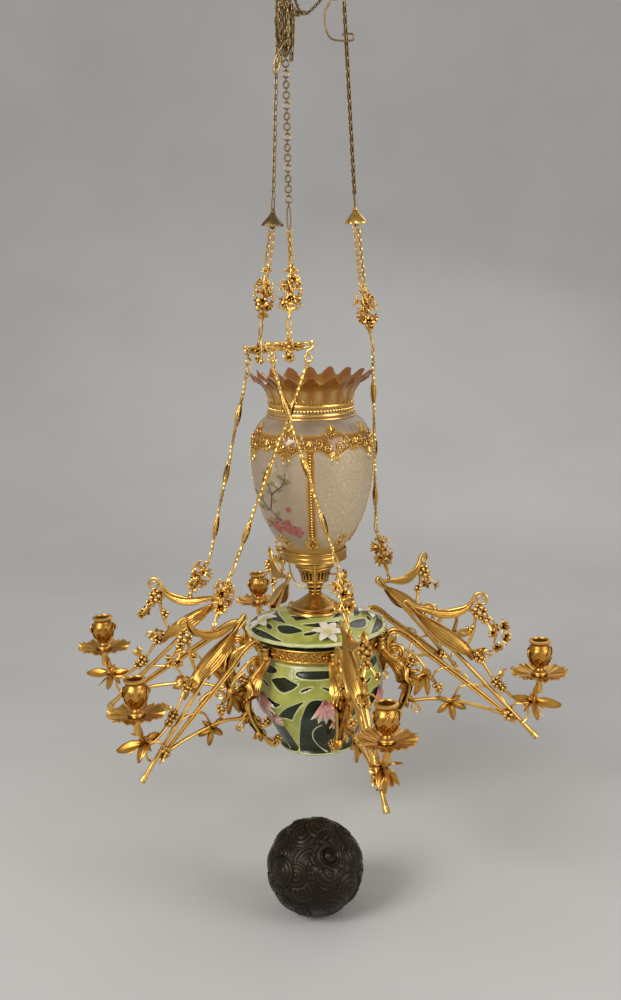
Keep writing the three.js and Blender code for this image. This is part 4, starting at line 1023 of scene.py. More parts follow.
def spreader(height):
    """A flower between two S-shaped arms, each with a ring at its end, and a small lily below. The rings are
    the eyes that the rods hang in, so their middles stand where the CAD model's do."""
    shape = Shape()
    ring_level, ring_out = -height, 27.0
    shape.link([0, 0, 0], [0, 0, -9], [1, 0, 0], 8, 1.4)
    shape.tube(resampled([[0, 0, -7], [0, 0.4, -20], [0, 0, -height + 2]], 12), 2.3, sides=8)
    heart = np.array([0, -1.5, -24])
    for petal in range(8):
        turn = 2 * np.pi * (petal + 0.5) / 8
        out = np.array([math.cos(turn), 0, math.sin(turn)])
        path = resampled([heart, heart - [0, 1.7, 0] + out * 7, heart + out * 13], 9)
        shape.blade(path, swell(9, 1.0, 2.3, 0.6), side=np.cross([0, 1, 0], out), fold=-0.4, thickness=1.4,
                    columns=7)
    shape.ball([0, -4, -24], 3.0)
    shape.lily([0, -1, -height + 3], [0, -0.8, -0.7], 10, throat=0.36)
    shape.bud([0, 0, -height + 2], [0, -1, -height - 5], 2.6)
    for side in (-1, 1):
        arm = [[0, 0, -25], [side * 8, 0, -21], [side * 17, 0, -19], [side * 27, 0, -19.5],
               [side * 33.5, 0, -22], [side * 32.5, 0, -27], [side * 27, 0, -30], [side * 25, 0, -33],
               [side * 26, 0, ring_level + 6]]
        shape.tube(resampled(arm, 54), 2.1 + 0.3 * np.sin(np.linspace(0, 26, 54)), sides=9)
        low = [[side * 2, 0, -27], [side * 10, 0, -29], [side * 19, 0, -27], [side * 29, 0, -24]]
        shape.tube(resampled(low, 26), 1.8, sides=8)
        shape.blade(resampled([[side * 6, 0, -22], [side * 13, -2, -25], [side * 22, -1, -23]], 12),
                    swell(12, 1, 3.6, 0.8), side=(0, 0.3, 1), fold=0.4)
        shape.bud([side * 31, 0, -21], [side * 35, -1, -15], 2.2)
        ring = circle(5.0, 28)[:, [0, 2, 1]] + [side * ring_out, 0, ring_level]
        shape.tube(ring, 1.6, sides=8, loop=True)
    return shape


print("a spreader has", len(spreader(41.0).faces), "faces")

# %% Rods and pendants


def rod_chain(length, top_turn, seed):
    """A rod cast like a twig, with bead knots and three long leaf sheaths, a link above and an oval link
    below"""
    shape = Shape()
    turn = math.radians(top_turn)
    shape.link([0, 0, 0], [0, 0, -13], [math.cos(turn), math.sin(turn), 0], 8, 1.3)
    top, foot = -11.0, -length + 20.5
    run = top - foot
    z = np.linspace(top, foot, 220)
    knots = np.exp(-((((z - top) / 8.6 + 0.37 * seed) % 1.0 - 0.5) / 0.16) ** 2)
    centres = [top - run * (share + 0.02 * seed % 0.05) for share in (0.2, 0.52, 0.82)]
    swells = sum(np.exp(-((z - c) / 10.0) ** 2) for c in centres)
    drift = np.stack([0.5 * np.sin(z * 0.06 + seed), 0.5 * np.cos(z * 0.05 + seed), z], 1)
    shape.tube(drift, 1.8 + 1.3 * knots * (1 - 0.6 * swells) + 1.2 * swells, sides=12, ridge=0.10, twist=9.0)
    for k, centre in enumerate(centres):
        for side in range(3):
            angle = 2.1 * side + k + seed
            out = np.array([math.cos(angle), math.sin(angle), 0])
            path = resampled([out * 1.6 + [0, 0, centre + 17], out * 3.4 + [0, 0, centre + 6],
                              out * 3.6 + [0, 0, centre - 8], out * 2.2 + [0, 0, centre - 19]], 12)
            shape.blade(path, swell(12, 0.8, 2.6, 0.4, peak=0.5), side=np.cross(out, [0, 0, 1]), fold=-0.3,
                        columns=7, thickness=1.2, ribs=2)
    shape.link([0, 0, -length + 22], [0, 0, -length], [1, 0, 0], 9, 1.3, count=26)
    return shape


def pendant(length, seed):
    """A spray of open lilies and bead florets on a twisted stalk, with a hook below"""
    shape = Shape()
    rng = np.random.default_rng(seed + 20)
    shape.link([0, 0, 0], [0, 0, -9], [0, 1, 0], 8, 1.3)
    middle = -length * 0.42
    shape.tube(np.linspace([0, 0, -7], [0, 0, -length + 8], 12), 1.7, sides=8)
    twisted_stems(shape, -8, -length + 9, 3.0, 1.0, 1.6)
    places = ((0, 2, -0.2), (60, 9, 0.4), (120, -6, -0.3), (180, 4, 0.3), (240, -12, -0.5), (300, 11, 0.3),
              (30, -16, -0.5))
    spray(shape, rng, places, middle, 25 * seed, 6.0, 1.4, {"size": 11.5, "count": 7},
          {"size": 12.0, "open_up": 0.7, "throat": 0.27}, 0)
    for side in (-1, 1):
        shape.bud([0, 0, middle - 18], [side * 9, 1, middle - 23], 2.6)
        tendril(shape, [0, 0, middle - 8], [side * 12, 0, middle - 18], 1.2, 5.0, 1.2, sense=side)
        path = resampled([[0, 0, middle + 12], [side * 7, -2, middle + 19], [side * 13, -1, middle + 16]], 12)
        shape.blade(path, swell(12, 1.4, 4, 0.5), side=(0, 0.5, 1), fold=0.5, thickness=1.4)
    shape.link([0, 0, -length + 9], [0, 0, -length], [1, 0, 0], 8, 1.3)
    return shape


print("a pendant of 60 mm has", len(pendant(60.0, 0).faces), "faces")

# %% Chains, caps, rosettes and spreaders take their places
for name, angle in HANGERS.items():
    upper = hang_node(f"upper_chain_{name}", round_chain if name == "front" else curb_chain, old_brass,
                      "ceiling", angle, "dark_brass")
    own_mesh(upper)
    if f"chain_cap_{name}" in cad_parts:
        hang_node(f"chain_cap_{name}", chain_cap, old_brass if name == "left" else gilt, "lamp", angle,
                  "gilt")
    hang_node(f"twin_chain_{name}", twin_chain, fine_gilt, "lamp", TWIN_FACING[name], "gilt",
              spacing=1.7 if name == "front" else 3.6)
    hang_node(f"rosette_{name}", rosette, fine_gilt, "lamp", angle, "gilt", seed=len(name))
    if f"spreader_{name}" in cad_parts:
        node = f"spreader_{name}"
        lean = angle + (SPREADER_LEAN if name == "front" else 0)
        top = ends(node)[0]
        shape = hung(spreader(41.0), top, top - [0, 0, 41.0], lean)
        piece(node + "_dressed", shape, fine_gilt, "lamp", (node,), "gilt")

# %% The rods and the lilies below them
for seed, name in enumerate(("front_right", "front_left", "left", "back_right", "back_left")):
    angle = ARMS[name][0]
    hang_node(f"rod_chain_{name}", rod_chain, fine_gilt, "lamp", angle, "gilt", top_turn=90.0, seed=seed)
    hang_node(f"pendant_{name}", pendant, fine_gilt, "lamp", angle, "gilt", seed=seed)

# %% [markdown]
# The arms
#
# Each arm is one flat casting: rods, an arch and a vine in one plane, with leaves on both faces. It could
# be cut from a plate with a drawing, but it is round in section everywhere, and its leaves stand out to the
# sides. So it is drawn as paths in its own plane, each with a thickness, and then turned to its place. Two
# forms serve all six arms: one with a spigot for a candle, and one without.

# %% One arm, in its own plane: X outwards, Z up from the middle of the carrier ring


def berries(shape, centre, radius, berry, seed, flat=0.8):
    """A round cluster: berries spread over a ball by the golden angle"""
    count = max(6, round(2.6 * (radius / berry) ** 2))
    for i in range(count):
        z = 1 - 2 * (i + 0.5) / count
        ring = math.sqrt(1 - z * z)
        turn = 2.4 * i + seed
        spot = np.array([ring * math.cos(turn), ring * math.sin(turn) * flat, z]) * radius
        shape.ball(np.asarray(centre, float) + spot, berry, rows=5, columns=7)


def double_rod(shape, path, size, beads=()):
    """Two ridged rods side by side in the arm's plane, with beads in their groove over part of the path"""
    across, normal = framing(path, (0, 1, 0))
    size = np.broadcast_to(np.asarray(size, float), (len(path),))
    for side in (-1, 1):
        shape.tube(path + normal * (side * 0.9 * size)[:, None], size, sides=12, ridge=0.1)
    for i in beads:
        for side in (-1, 1):
            shape.ball(path[i] + across[i] * side * size[i] * 0.8, 0.55 * size[i], rows=4, columns=6)


def fan(shape, start, tips, half):
    """Ribbed lobes that leave one point side by side: the face of a shell or an acanthus"""
    start = np.asarray(start, float)
    for end in tips:
        end = np.asarray(end, float)
        bow = (start + end) / 2 + np.array([4.0, 0, 1.0])
        path = resampled([start, bow, end, end + [2.2, 0, -1.5]], 12)
        shape.blade(path, swell(12, 0.35 * half, half, 0.25 * half, peak=0.6), fold=-0.4, thickness=2.2)


def lobes(shape, start, tips, half, fold=0.7):
    """The pointed lobes of one cast leaf. Each is folded along its midrib, so it is broad from two sides."""
    start = np.asarray(start, float)
    for k, end in enumerate(tips):
        end = np.asarray(end, float)
        middle = (start + end) / 2 + np.array([0, 0, 0.12 * np.linalg.norm(end - start)])
        shape.blade(resampled([start, middle, end], 16), swell(16, 0.3 * half, half, 0.2, peak=0.45),
                    side=(0, 1, 0.001 * k), fold=-fold, thickness=1.5, ribs=2, rib=0.06, columns=11)


print("arms start", round(ARM_START, 1), "mm from the middle")

# %% The rods of an arm


def arm_rods(shape):
    """The clasp on the carrier ring, the hairpin rod with its folded leaf, and the doubled, ridged arch"""
    shape.lathe([[6, -10], [7.4, -8], [6, -3], [6.6, 0], [6, 3], [7.4, 8], [6, 10]], 24,
                centre=(ARM_START + 6.5, 0, 0), count=24)
    pin = plane_path([[345, -130], [336, -121], [164, 52], [153, 65], [146, 70], [142.5, 64], [152, 55],
                      [172, 42]], 110)
    radius = np.interp(np.arange(110), [0, 4, 9, 70, 92, 109], [4.8, 4.6, 3.4, 3.1, 2.7, 2.2])
    shape.tube(pin, radius, sides=14, ridge=0.05)
    leaf = plane_path([[160, 54], [176, 47], [196, 38], [216, 27], [236, 12], [249, -2], [255, -16]], 44)
    t = np.linspace(0, 1, 44)
    shape.saddle(leaf, 2.2 + 11 * np.sin(np.pi * np.clip(t * 0.86, 0, 1)) ** 0.9,
                 3 + 20 * np.sin(np.pi * np.clip(t * 0.92 + 0.02, 0, 1)) ** 1.2, opening=1.75, ribs=15,
                 rib=0.6, columns=47)
    shape.tube(plane_path([[176, 42], [208, 22], [236, 2]], 20), swell(20, 1.8, 2.4, 1.2), sides=8)
    arch = np.vstack([spiral([129, -16], -2.6, -1.55, 16, 3.5, 44)[::-1],
                      plane_path([[113, 4], [117, 15], [127, 21],
                      [141, 17], [158, 6], [180, -12], [245, -58], [306, -103]], 80)])
    arch = resampled(arch, 150)
    double_rod(shape, arch, np.interp(np.arange(150), [0, 20, 60, 120, 149], [1.4, 2.5, 2.8, 2.5, 1.7]),
               beads=range(22, 84, 3))


# %% The bracket under the pot


def arm_bracket(shape):
    """A massive ribbed leaf that follows the pot's side, with fans of lobes and a beaded foot that curls
    out"""
    bracket = plane_path([[ARM_START + 3, -4], [116, -18], [134, -32], [143, -52], [140, -84], [125, -114],
                          [110, -136], [98, -149], [88, -152], [84, -143]], 70)
    width = np.interp(np.linspace(0, 9, 70), range(10), [7, 11, 15, 16, 13, 10, 7, 5.5, 4.5, 3])
    shape.saddle(bracket[:52], width[:52], width[:52] * 0.7, opening=1.4, ribs=13, rib=0.9, thickness=2.4,
                 columns=45)
    shape.tube(bracket, np.maximum(width * 0.36, 3.2) + 0.9 * np.abs(np.sin(np.linspace(0, 34, 70))),
               sides=12)
    fan(shape, [139, 0, -27], [[151 - 1.2 * abs(k), 4.9 * k, -66 + 4.5 * abs(k)] for k in range(-3, 4)], 3.6)
    fan(shape, [146, 0, -62], [[141 - 1.5 * abs(k), 5.2 * k, -101 + 5 * abs(k)] for k in range(-2, 3)], 3.8)
    fan(shape, [132, 0, -100], [[114 - abs(k), 4.4 * k, -132 + 4 * abs(k)] for k in range(-1, 2)], 3.6)
    for place, aim in (([146, 0, -46], -25), ([142, 0, -80], -75), ([122, 0, -116], -100)):
        spread = [(aim - 38, 20, 30), (aim, 25, 30), (aim + 38, 20, 30)]
        shape.leaf(place, [0, 1, 0], [0, 0, 1], [(90 - a, reach, half) for a, reach, half in spread], 7.0)
    berries(shape, [84, 0, -144], 6.0, 2.6, 5)
    berries(shape, [100, 0, -143], 5.0, 2.4, 6)
    berries(shape, [152, 0, -30], 6.5, 2.6, 1)


# %% The leaves below the arch


def arm_leaves(shape):
    """A lobed leaf beside the scroll with grapes under it, and the lower stem with its ivy leaf and the
    knuckle"""
    shape.tube(plane_path([[144, -8], [160, -18], [172, -32], [178, -44]], 20), swell(20, 2.6, 2.2, 1.6),
               sides=8)
    shape.leaf([177, 0, -46], [0, 1, 0], [0, 0, -1], [(60, 52, 30), (28, 42, 28), (-6, 36, 28),
                                                      (-52, 24, 26)], 4.6)
    shape.grapes([196, 0, -62], [0.2, 0, -1], 15, 7, 3.4, 14, 3)
    for arc in ([[180, -46], [187, -52], [194, -40], [213, -33], [235, -40], [243, -48]],
                [[216, -88], [223, -76], [231, -64], [247, -59], [274, -62], [298, -78], [307, -100]]):
        shape.tube(plane_path(arc, 40), swell(40, 1.5, 2.0, 1.6), sides=8)
    tendril(shape, [150, 0, -20], [168, 0, -34], 1.4, 9, 1.7, sense=-1)
    tendril(shape, [143, 0, -90], [160, 0, -102], 1.4, 9, 1.9, sense=-1)
    stem = plane_path([[141, -86], [160, -90], [186, -86], [215, -86], [262, -93], [306, -104]], 70)
    shape.tube(stem, 2.7 + 0.4 * np.abs(np.sin(np.linspace(0, 15, 70))))
    shape.leaf([216, 0, -90], [0, 1, 0], [0, 0, -1], [(-12, 29, 40), (-74, 27, 38), (50, 28, 38),
                                                      (-130, 22, 36), (112, 24, 36)], 5.0)
    berries(shape, [308, 0, -104], 7.5, 3.4, 2)
    for end in ([318, 9, -112], [318, -9, -112], [300, 8, -96], [300, -8, -96]):
        shape.bud([308, 0, -104], end, 3.0)


# %% The vine above the arch


def arm_vine(shape):
    """The upper leaf with its curl, and the vine that drops through the arch and rises to the candle"""
    upper = plane_path([[156, 62], [176, 62], [200, 59], [222, 60], [242, 68], [254, 82]], 40)
    t = np.linspace(0, 1, 40)
    shape.saddle(upper, 2 + 7.5 * np.sin(np.pi * t) ** 0.9, 2 + 9 * np.sin(np.pi * t) ** 1.1, opening=1.5,
                 ribs=9, rib=0.5, columns=35)
    curl = np.vstack([plane_path([[214, 58], [240, 66], [253, 80]], 20)[:-1],
                      spiral([264, 78], 2.6, -1.45, 12, 3.4, 40)])
    shape.tube(resampled(curl, 80), np.linspace(2.7, 1.7, 80), sides=9)
    vine = plane_path([[152, 66], [168, 58], [190, 56], [214, 58], [240, 62], [254, 52], [250, 22], [241, 0],
                       [257, -8], [286, -50], [316, -76], [334, -82], [348, -72], [CANDLE_RADIUS, -46]], 150)
    shape.tube(vine, 2.3 + 0.35 * np.abs(np.sin(np.linspace(0, 34, 150))))
    berries(shape, [261, 0, 58], 9.5, 4.0, 3, flat=0.9)
    berries(shape, [271, 0, 46], 5.5, 3.3, 4)
    shape.grapes([246, 0, 34], [0.2, 0, -1], 14, 5.5, 3.2, 11, 6)
    for place, size in (([262, 0, -16], 6.5), ([288, 0, -52], 7.5), ([297, 0, -60], 6.0)):
        berries(shape, place, size, 3.0, place[0])
    for y in (-1, 1):
        shape.tube(resampled([[286, 0, -50], [292, 4 * y, -42], [297, 9 * y, -38]], 8), 1.5, sides=7)
        shape.bud([292, 4 * y, -42], [301, 12 * y, -33], 3.4)
        shape.tube(resampled([[266, 0, 50], [276, 5 * y, 40], [282, 9 * y, 30]], 10), 1.7, sides=7)
        shape.lily([282, 9 * y, 30], [0.6, 0.9 * y, -0.4], 9.5, petals=5, throat=0.42)
        shape.blade(resampled([[250, y, -8], [262, 9 * y, -2], [272, 15 * y, -8]], 12), swell(12, 2, 5, 0.8),
                    side=(1, 0, 0.4), fold=0.4)
    tendril(shape, [257, 0, -8], [272, 0, -10], 1.3, 9, 1.7)
    ring = np.linspace(-1.2, 4.6, 40)
    coil = np.stack([324 + 14 * np.cos(ring), 2.5 * ring - 4, -98 + 15 * np.sin(ring)], 1)
    shape.tube(coil, 1.9, sides=8)


# %% The arm's tip, and the whole casting


def arm_tip(shape, bears):
    """The leaf under the candle, with long lobes in the arm's plane and four beside it, and the spigot"""
    shape.leaf([344, 0, -76], [0, 1, 0], [0, 0, -1], [(-84, 47, 34), (-16, 34, 32), (34, 24, 28),
                                                      (98, 30, 36), (-165, 30, 24)], 5.0)
    lobes(shape, [336, 0, -76], [[350, 25, -70], [350, -25, -70], [362, 15, -96], [362, -15, -96]], 6.0,
          fold=0.35)
    if bears:
        shape.lathe([[3, -64], [5.5, -60], [5.0, -48], [7.5, -42], [7.5, -38.5], [3, -38], [3, -18],
                     [1, -17.6]], 20,
                    centre=(CANDLE_RADIUS, 0, 0))
    else:
        shape.ball([CANDLE_RADIUS, 0, -44], 5)


def arm_casting(bears):
    """The whole arm as one casting, from the clasp on the ring to the candle's spigot"""
    shape = Shape()
    for part in (arm_rods, arm_bracket, arm_leaves, arm_vine):
        part(shape)
    arm_tip(shape, bears)
    return shape


def stretched(shape, stretch):
    """A copy whose distances outwards from the arm's start are multiplied"""
    out = Shape()
    out.faces, out.count = shape.faces, shape.count
    out.spots = [(spots - [ARM_START, 0, 0]) * [stretch, 1, 1] + [ARM_START, 0, 0] for spots in shape.spots]
    return out


# %% The six arms, each with the eye that a rod hangs in
EYES = {"front_right": 188, "right": 190, "back_right": 174, "back_left": 190, "left": 206, "front_left": 200}
casting = {bears: arm_casting(bears) for bears in (True, False)}
for name, (angle, stretch, bears) in ARMS.items():
    arm = stretched(casting[bears], stretch)
    arm.link([EYES[name], 0, 67], [EYES[name], 0, 58], [1, 0, 0], 8, 1.3)
    if name == "right":            # the spray that lies loose on this arm
        arm.tube(plane_path([[268, 56], [278, 46], [284, 30], [280, 10]], 24), 1.6, sides=8)
        for spot, facing in (([290, 6, 34], [0.7, -0.4, 0.3]), ([294, -8, 24], [0.9, -0.6, -0.1]),
                             ([283, 2, 8], [0.4, -0.7, -0.6])):
            arm.lily(spot, facing, 13, open_up=0.8, throat=0.26)
    dress(f"arm_{name}", arm, gilt, "gilt", angle=angle)

# %% [markdown]
# Drip pans and candle cups
#
# Each pan is a thin cast leaf that is ragged at its rim, and each cup is a small jar with leaves in low
# relief. A turned dish with an image of a leaf would be flat in raking light, so the rim's teeth, the veins
# and the waves are all part of the pan's grid here.

# %% Drip pans


def drip_pan():
    """A ragged dish. The radius swings round with 17 lobes and 51 teeth, which grow with the distance from
    the middle. The level rises with that distance to the power 1.5, and slow and fine waves bend it."""
    shape = Shape()
    angle = np.linspace(0, 2 * np.pi, 306, endpoint=False)[None]
    share = np.linspace(0, 1, 20)[:, None]
    lobe = np.abs(np.cos(8.5 * angle + 0.3 * np.sin(2 * angle)))
    tooth = np.abs(((angle * 51 / (2 * np.pi) + 0.3 * share) % 1.0) - 0.5) * 2
    teeth = 0.11 * tooth * share ** 3 * (0.7 + 0.3 * np.sin(5 * angle))
    radius = 7.5 + share * 36.5 * (0.76 + 0.15 * lobe ** 0.7 * share ** 2 + teeth)
    waves = 1.4 * share ** 2 * np.sin(9 * angle + 0.6)
    waves = waves + share ** 3 * (1.5 * np.sin(23 * angle + 2) + 1.4 * np.sin(5 * angle))
    bent = waves + 1.7 * (lobe - 0.5) * share ** 0.6 + 0.9 * (tooth - 0.5) * share
    level = -2.5 + 5.5 * share ** 1.5 + bent
    low, top = (around(radius, angle, level + half) for half in (-0.9, 0.9))
    shape.skin(np.concatenate([low, top[::-1]]), along=True)
    shape.lathe([[3.7, -3], [9, -3], [10, -1], [9, 1], [3.7, 1]], 32, closed=True)
    return shape


print("a drip pan has", len(drip_pan().faces), "faces")

# %% Candle cups


def candle_cup():
    """A jar with a rim flange, a round belly and a narrow turned foot. Three crossing waves of 7, 14 and 28
    crests round the belly give its low relief, and eight leaves in two tiers lie over it."""
    shape = Shape()

    def relief(angle, share):
        """The waves in the radius, which fade out above and below the belly"""
        up = share - 0.3
        swirl = 0.034 * np.cos(7 * angle) * np.cos(46 * up)
        swirl = swirl + 0.022 * np.cos(14 * angle + 1) * np.cos(92 * up + 1)
        return 1 + np.exp(-(up / 0.11) ** 4) * (swirl + 0.012 * np.cos(28 * angle - 60 * share))

    profile = [[3.7, -50.5], [10.5, -50.7], [11.2, -48.5], [7.6, -45.5], [5.6, -42], [6.4, -39.6], [9.6, -37],
               [13.6, -32], [16.6, -26], [17.8, -19], [17.0, -12.5], [14.2, -7.6], [13.2, -4.6], [13.8, -3.2],
               [16.2, -1.8], [16.6, 0.2], [16.2, 1.3], [14.2, 1.4], [11.6, 0.2], [11.6, -21], [4, -22]]
    shape.lathe(profile, 96, count=92, wave=relief)
    belly = resampled([[r, 0, z] for r, z in profile[5:13]], 40)
    for i in range(8):
        for tier, (low, high, half) in enumerate(((-38, -25, 3.4), (-20, -9, 2.2))):
            t = np.linspace(0, 1, 14)
            level = low + (high - low) * t
            turn = 2 * np.pi * (i + 0.5 * tier) / 8 + 0.5 * t
            radius = np.interp(level, belly[:, 2], belly[:, 0]) + 0.2 + 1.6 * np.clip(t - 0.8, 0, 1) * 5
            path = around(radius, turn, level)
            out = np.array([math.cos(turn[7]), math.sin(turn[7]), 0])
            shape.blade(path, swell(14, 1.4, half, 0.5, peak=0.45), side=np.cross([0, 0, 1], out), fold=-0.3,
                        thickness=1.1)
    for i in range(2):
        turn = np.pi * i + 0.4
        out = np.array([math.cos(turn), math.sin(turn), 0])
        ear = resampled([out * 16 + [0, 0, -12], out * 19.5 + [0, 0, -13], out * 20.5 + [0, 0, -19],
                         out * 17.8 + [0, 0, -24]], 16)
        shape.tube(ear, swell(16, 1.3, 2.0, 1.2), side=np.cross([0, 0, 1], out), sides=8)
    return shape


# %% Five pans and five cups on the arms that bear candles
for name, (angle, stretch, bears) in ARMS.items():
    if not bears:
        continue
    reach = ARM_START + (CANDLE_RADIUS - ARM_START) * stretch
    spot = polar(reach, angle)
    piece(f"drip_pan_{name}_dressed", drip_pan(), old_gilt, "lamp", (f"drip_pan_{name}",), "gilt",
          base=spot + [0, 0, PAN_LEVEL - DROP])
    piece(f"candle_cup_{name}_dressed", candle_cup(), old_gilt, "lamp", (f"candle_cup_{name}",), "gilt",
          base=spot + [0, 0, CUP_RIM - DROP])

# %% [markdown]
# The carrier ring
#
# A cast band that the six arms clasp and the pot's flange rests on. Its ornament is too fine to place leaf
# by leaf, so the band's radius is waved by two crossing patterns, which gives small raised leaves.

# %% The carrier ring, a band of fine leaf ornament
band = Shape()
angle = np.linspace(0, 2 * np.pi, 640, endpoint=False)[None]
level = np.linspace(-1, 1, 21)[:, None]
middle_band = np.clip((0.7 - np.abs(level)) / 0.08, 0, 1)
relief = (0.55 * np.cos(50 * angle + 2.2 * np.sin(np.pi * level * 1.4)) * np.cos(np.pi * level * 1.9)
          + 0.35 * np.cos(100 * angle + 5 * level)) * middle_band
roll = 0.9 * np.exp(-((np.abs(level) - 0.86) / 0.1) ** 2)
outer = RING_RADIUS - 1.1 + relief + roll
wall_out = around(outer, angle, RING_HALF * level)
wall_in = around(RING_INSIDE, angle, RING_HALF * level)
band.skin(np.concatenate([wall_out, wall_in[::-1]]), along=True)
for side in (-1, 1):
    for share in (0.12, 0.3):      # small knobs beside the clasps
        for clasp, _, _ in ARMS.values():
            band.ball(polar(RING_RADIUS + 0.4, clasp + side * (4 + 14 * share), 4 * side * (share - 0.2)),
                      2.4, rows=5, columns=8)
strap = plane_path([[RING_RADIUS - 2, -6], [RING_RADIUS + 6, -7], [RING_RADIUS + 10, 0],
                    [RING_RADIUS + 9, 14], [RING_RADIUS + 5, 20], [RING_RADIUS + 1.5, 14],
                    [RING_RADIUS - 0.5, 6]], 36)
band.tube(spun(strap, STRAP_ANGLE), 2.4, side=polar(1, STRAP_ANGLE + 90), flat=0.7)
hoop = circle(7.2, 36)[:, [2, 0, 1]] + [RING_RADIUS + 6, 0, 24]
band.tube(spun(hoop, STRAP_ANGLE), 1.2, side=polar(1, STRAP_ANGLE), sides=8, loop=True)
dress("carrier_ring", band, old_gilt, "gilt")

# %% [markdown]
# The pattern of the pot and its lid
#
# The pot is glazed earthenware. Its pattern was cut into the clay as flat cells with raised lips, then
# filled with dark glaze. It could be painted as a picture, but the cells are really sunk, so here each is a
# closed outline in a tile of the turned surface. A point's distance to the outlines gives both the relief
# and the colour, and so they always agree.

# %% Distances to outlines and lines
DEGREE_MM = 1.78                   # millimetres to one degree at the belly, where the outlines were laid out


def within(across, up, corners):
    """Distance to a closed outline, above 0 inside it and below 0 outside: the least distance to its edges,
    with its sign from how many edges a line to the right crosses"""
    a = np.asarray(corners, float)
    d = np.roll(a, -1, 0) - a
    px, py = across[..., None] - a[:, 0], up[..., None] - a[:, 1]
    t = np.clip((px * d[:, 0] + py * d[:, 1]) / (d ** 2).sum(1), 0, 1)
    gap = np.hypot(px - t * d[:, 0], py - t * d[:, 1]).min(-1)
    crossed = ((py < 0) != (py < d[:, 1])) & (px < d[:, 0] * py / np.where(d[:, 1] == 0, 1e-9, d[:, 1]))
    return np.where(crossed.sum(-1) % 2, gap, -gap)


def line_distance(across, up, points):
    """Distance to an open line of points"""
    a = np.asarray(points, float)
    d = a[1:] - a[:-1]
    px, py = across[..., None] - a[:-1, 0], up[..., None] - a[:-1, 1]
    t = np.clip((px * d[:, 0] + py * d[:, 1]) / (d ** 2).sum(1), 0, 1)
    return np.hypot(px - t * d[:, 0], py - t * d[:, 1]).min(-1)


def smooth(points, count=48, loop=True):
    """A smooth line through points given in degrees and millimetres, in millimetres"""
    return resampled([[x * DEGREE_MM, 0, z] for x, z in points], count, loop)[:, [0, 2]]


def mirrored(points):
    """The same outline on the other side of its tile's middle"""
    return [(-x, z) for x, z in points]


def tile_offset(angle, centre, tile):
    """Millimetres along the belly from the nearest repeat of a tile's centre"""
    return ((angle - centre + tile / 2) % tile - tile / 2) * DEGREE_MM


square = [(-1, -1), (1, -1), (1, 1), (-1, 1)]
print("the middle of a 2 mm square lies", within(np.zeros(1), np.zeros(1), square)[0], "mm inside it")

# %% Turned and glazed shells
SINK = 1.2                         # how deep a cell lies below the glaze round it
LIP = 0.7                          # how far the lip along its outline stands out


def glazed(shape, name, profile, sides, rows, cells_at, base, node, closed=False):
    """A turned shell. A cell is sunk, a lip stands along its outline, and the curls are raised. On a closed
    shell the rim's line is rippled by waves of 25 and 7 crests, as a hand leaves it."""
    line = resampled([[r, 0, z] for r, z in profile], rows, closed)
    compass = np.linspace(0, 360, sides, endpoint=False)[None]
    radius, height = line[:, 0][:, None], line[:, 2][:, None]
    inside, curl, rim = cells_at(compass, radius, height)
    sink = -SINK * np.clip(inside / 1.2 + 0.4, 0, 1) + LIP * np.exp(-(inside + 1.3) ** 2)
    sink = sink + 0.9 * np.exp(-(curl / 1.2) ** 2)
    tangent = unit(np.gradient(line, axis=0))
    ripple = rim * closed * (np.cos(np.radians(25 * compass)) + 0.5 * np.cos(np.radians(7 * compass)))
    r = radius + sink * tangent[:, 2][:, None] + 0.7 * ripple
    z = height - sink * tangent[:, 0][:, None] + 0.5 * ripple
    zero = np.zeros_like(r + compass)
    shape.skin(polar(r, compass, z), along=closed, cell=inside + zero, curl=curl + zero, line=rim + zero)
    return piece(name, shape, majolica, "lamp", (node,), "green_glaze", base=base, crease=60)


print("cells are", SINK, "mm deep with lips of", LIP, "mm")

# %% The outlines of the pot's cells
# the pot's cells as [degrees, level], round the diamond's middle or the arch's
DIAMOND = [(-14.5, -41), (-9, -37), (-4.5, -35.5), (0, -33.5), (4, -36), (14, -42), (9, -50), (3, -55),
           (0, -56.5), (-5, -54)]
SLOT = [(-20, -26), (-14, -23), (0, -22), (14, -23), (20, -26), (19, -31), (12, -33), (0, -34), (-12, -33),
        (-18, -30)]
SLIVER = [(16, -51), (20, -47), (26, -44.5), (25, -47), (20, -51.5), (16.5, -53)]
WEDGE = [(19, -67), (10, -74), (2, -82), (-8, -98), (-9.5, -101), (-5, -102.5), (0, -101), (5, -103),
         (9, -92), (14, -78)]
SCALE = [(-17, -70), (-10, -74), (-3, -77), (-8, -83), (-14, -87), (-18, -88), (-18, -80)]
ARCH = [(0, -64), (5, -66), (9, -74), (13.5, -92), (17, -108), (21, -127), (26, -150), (29, -166), (15, -168),
        (0, -168), (-15, -168), (-29, -166), (-26, -150), (-21, -127), (-17, -108), (-13.5, -92), (-9, -74),
        (-5, -66)]
RING = [(3 + 3.9 * math.cos(a), -95 + 7.0 * math.sin(a)) for a in np.linspace(0.9, 5.6, 24)]
STEM = [(4, -112), (-2, -118), (-6, -128), (-6, -140), (-1, -152), (5, -160), (13, -166)]


print("the arch is", ARCH[0][1] - ARCH[9][1], "mm high")

# %% The pot's tiles


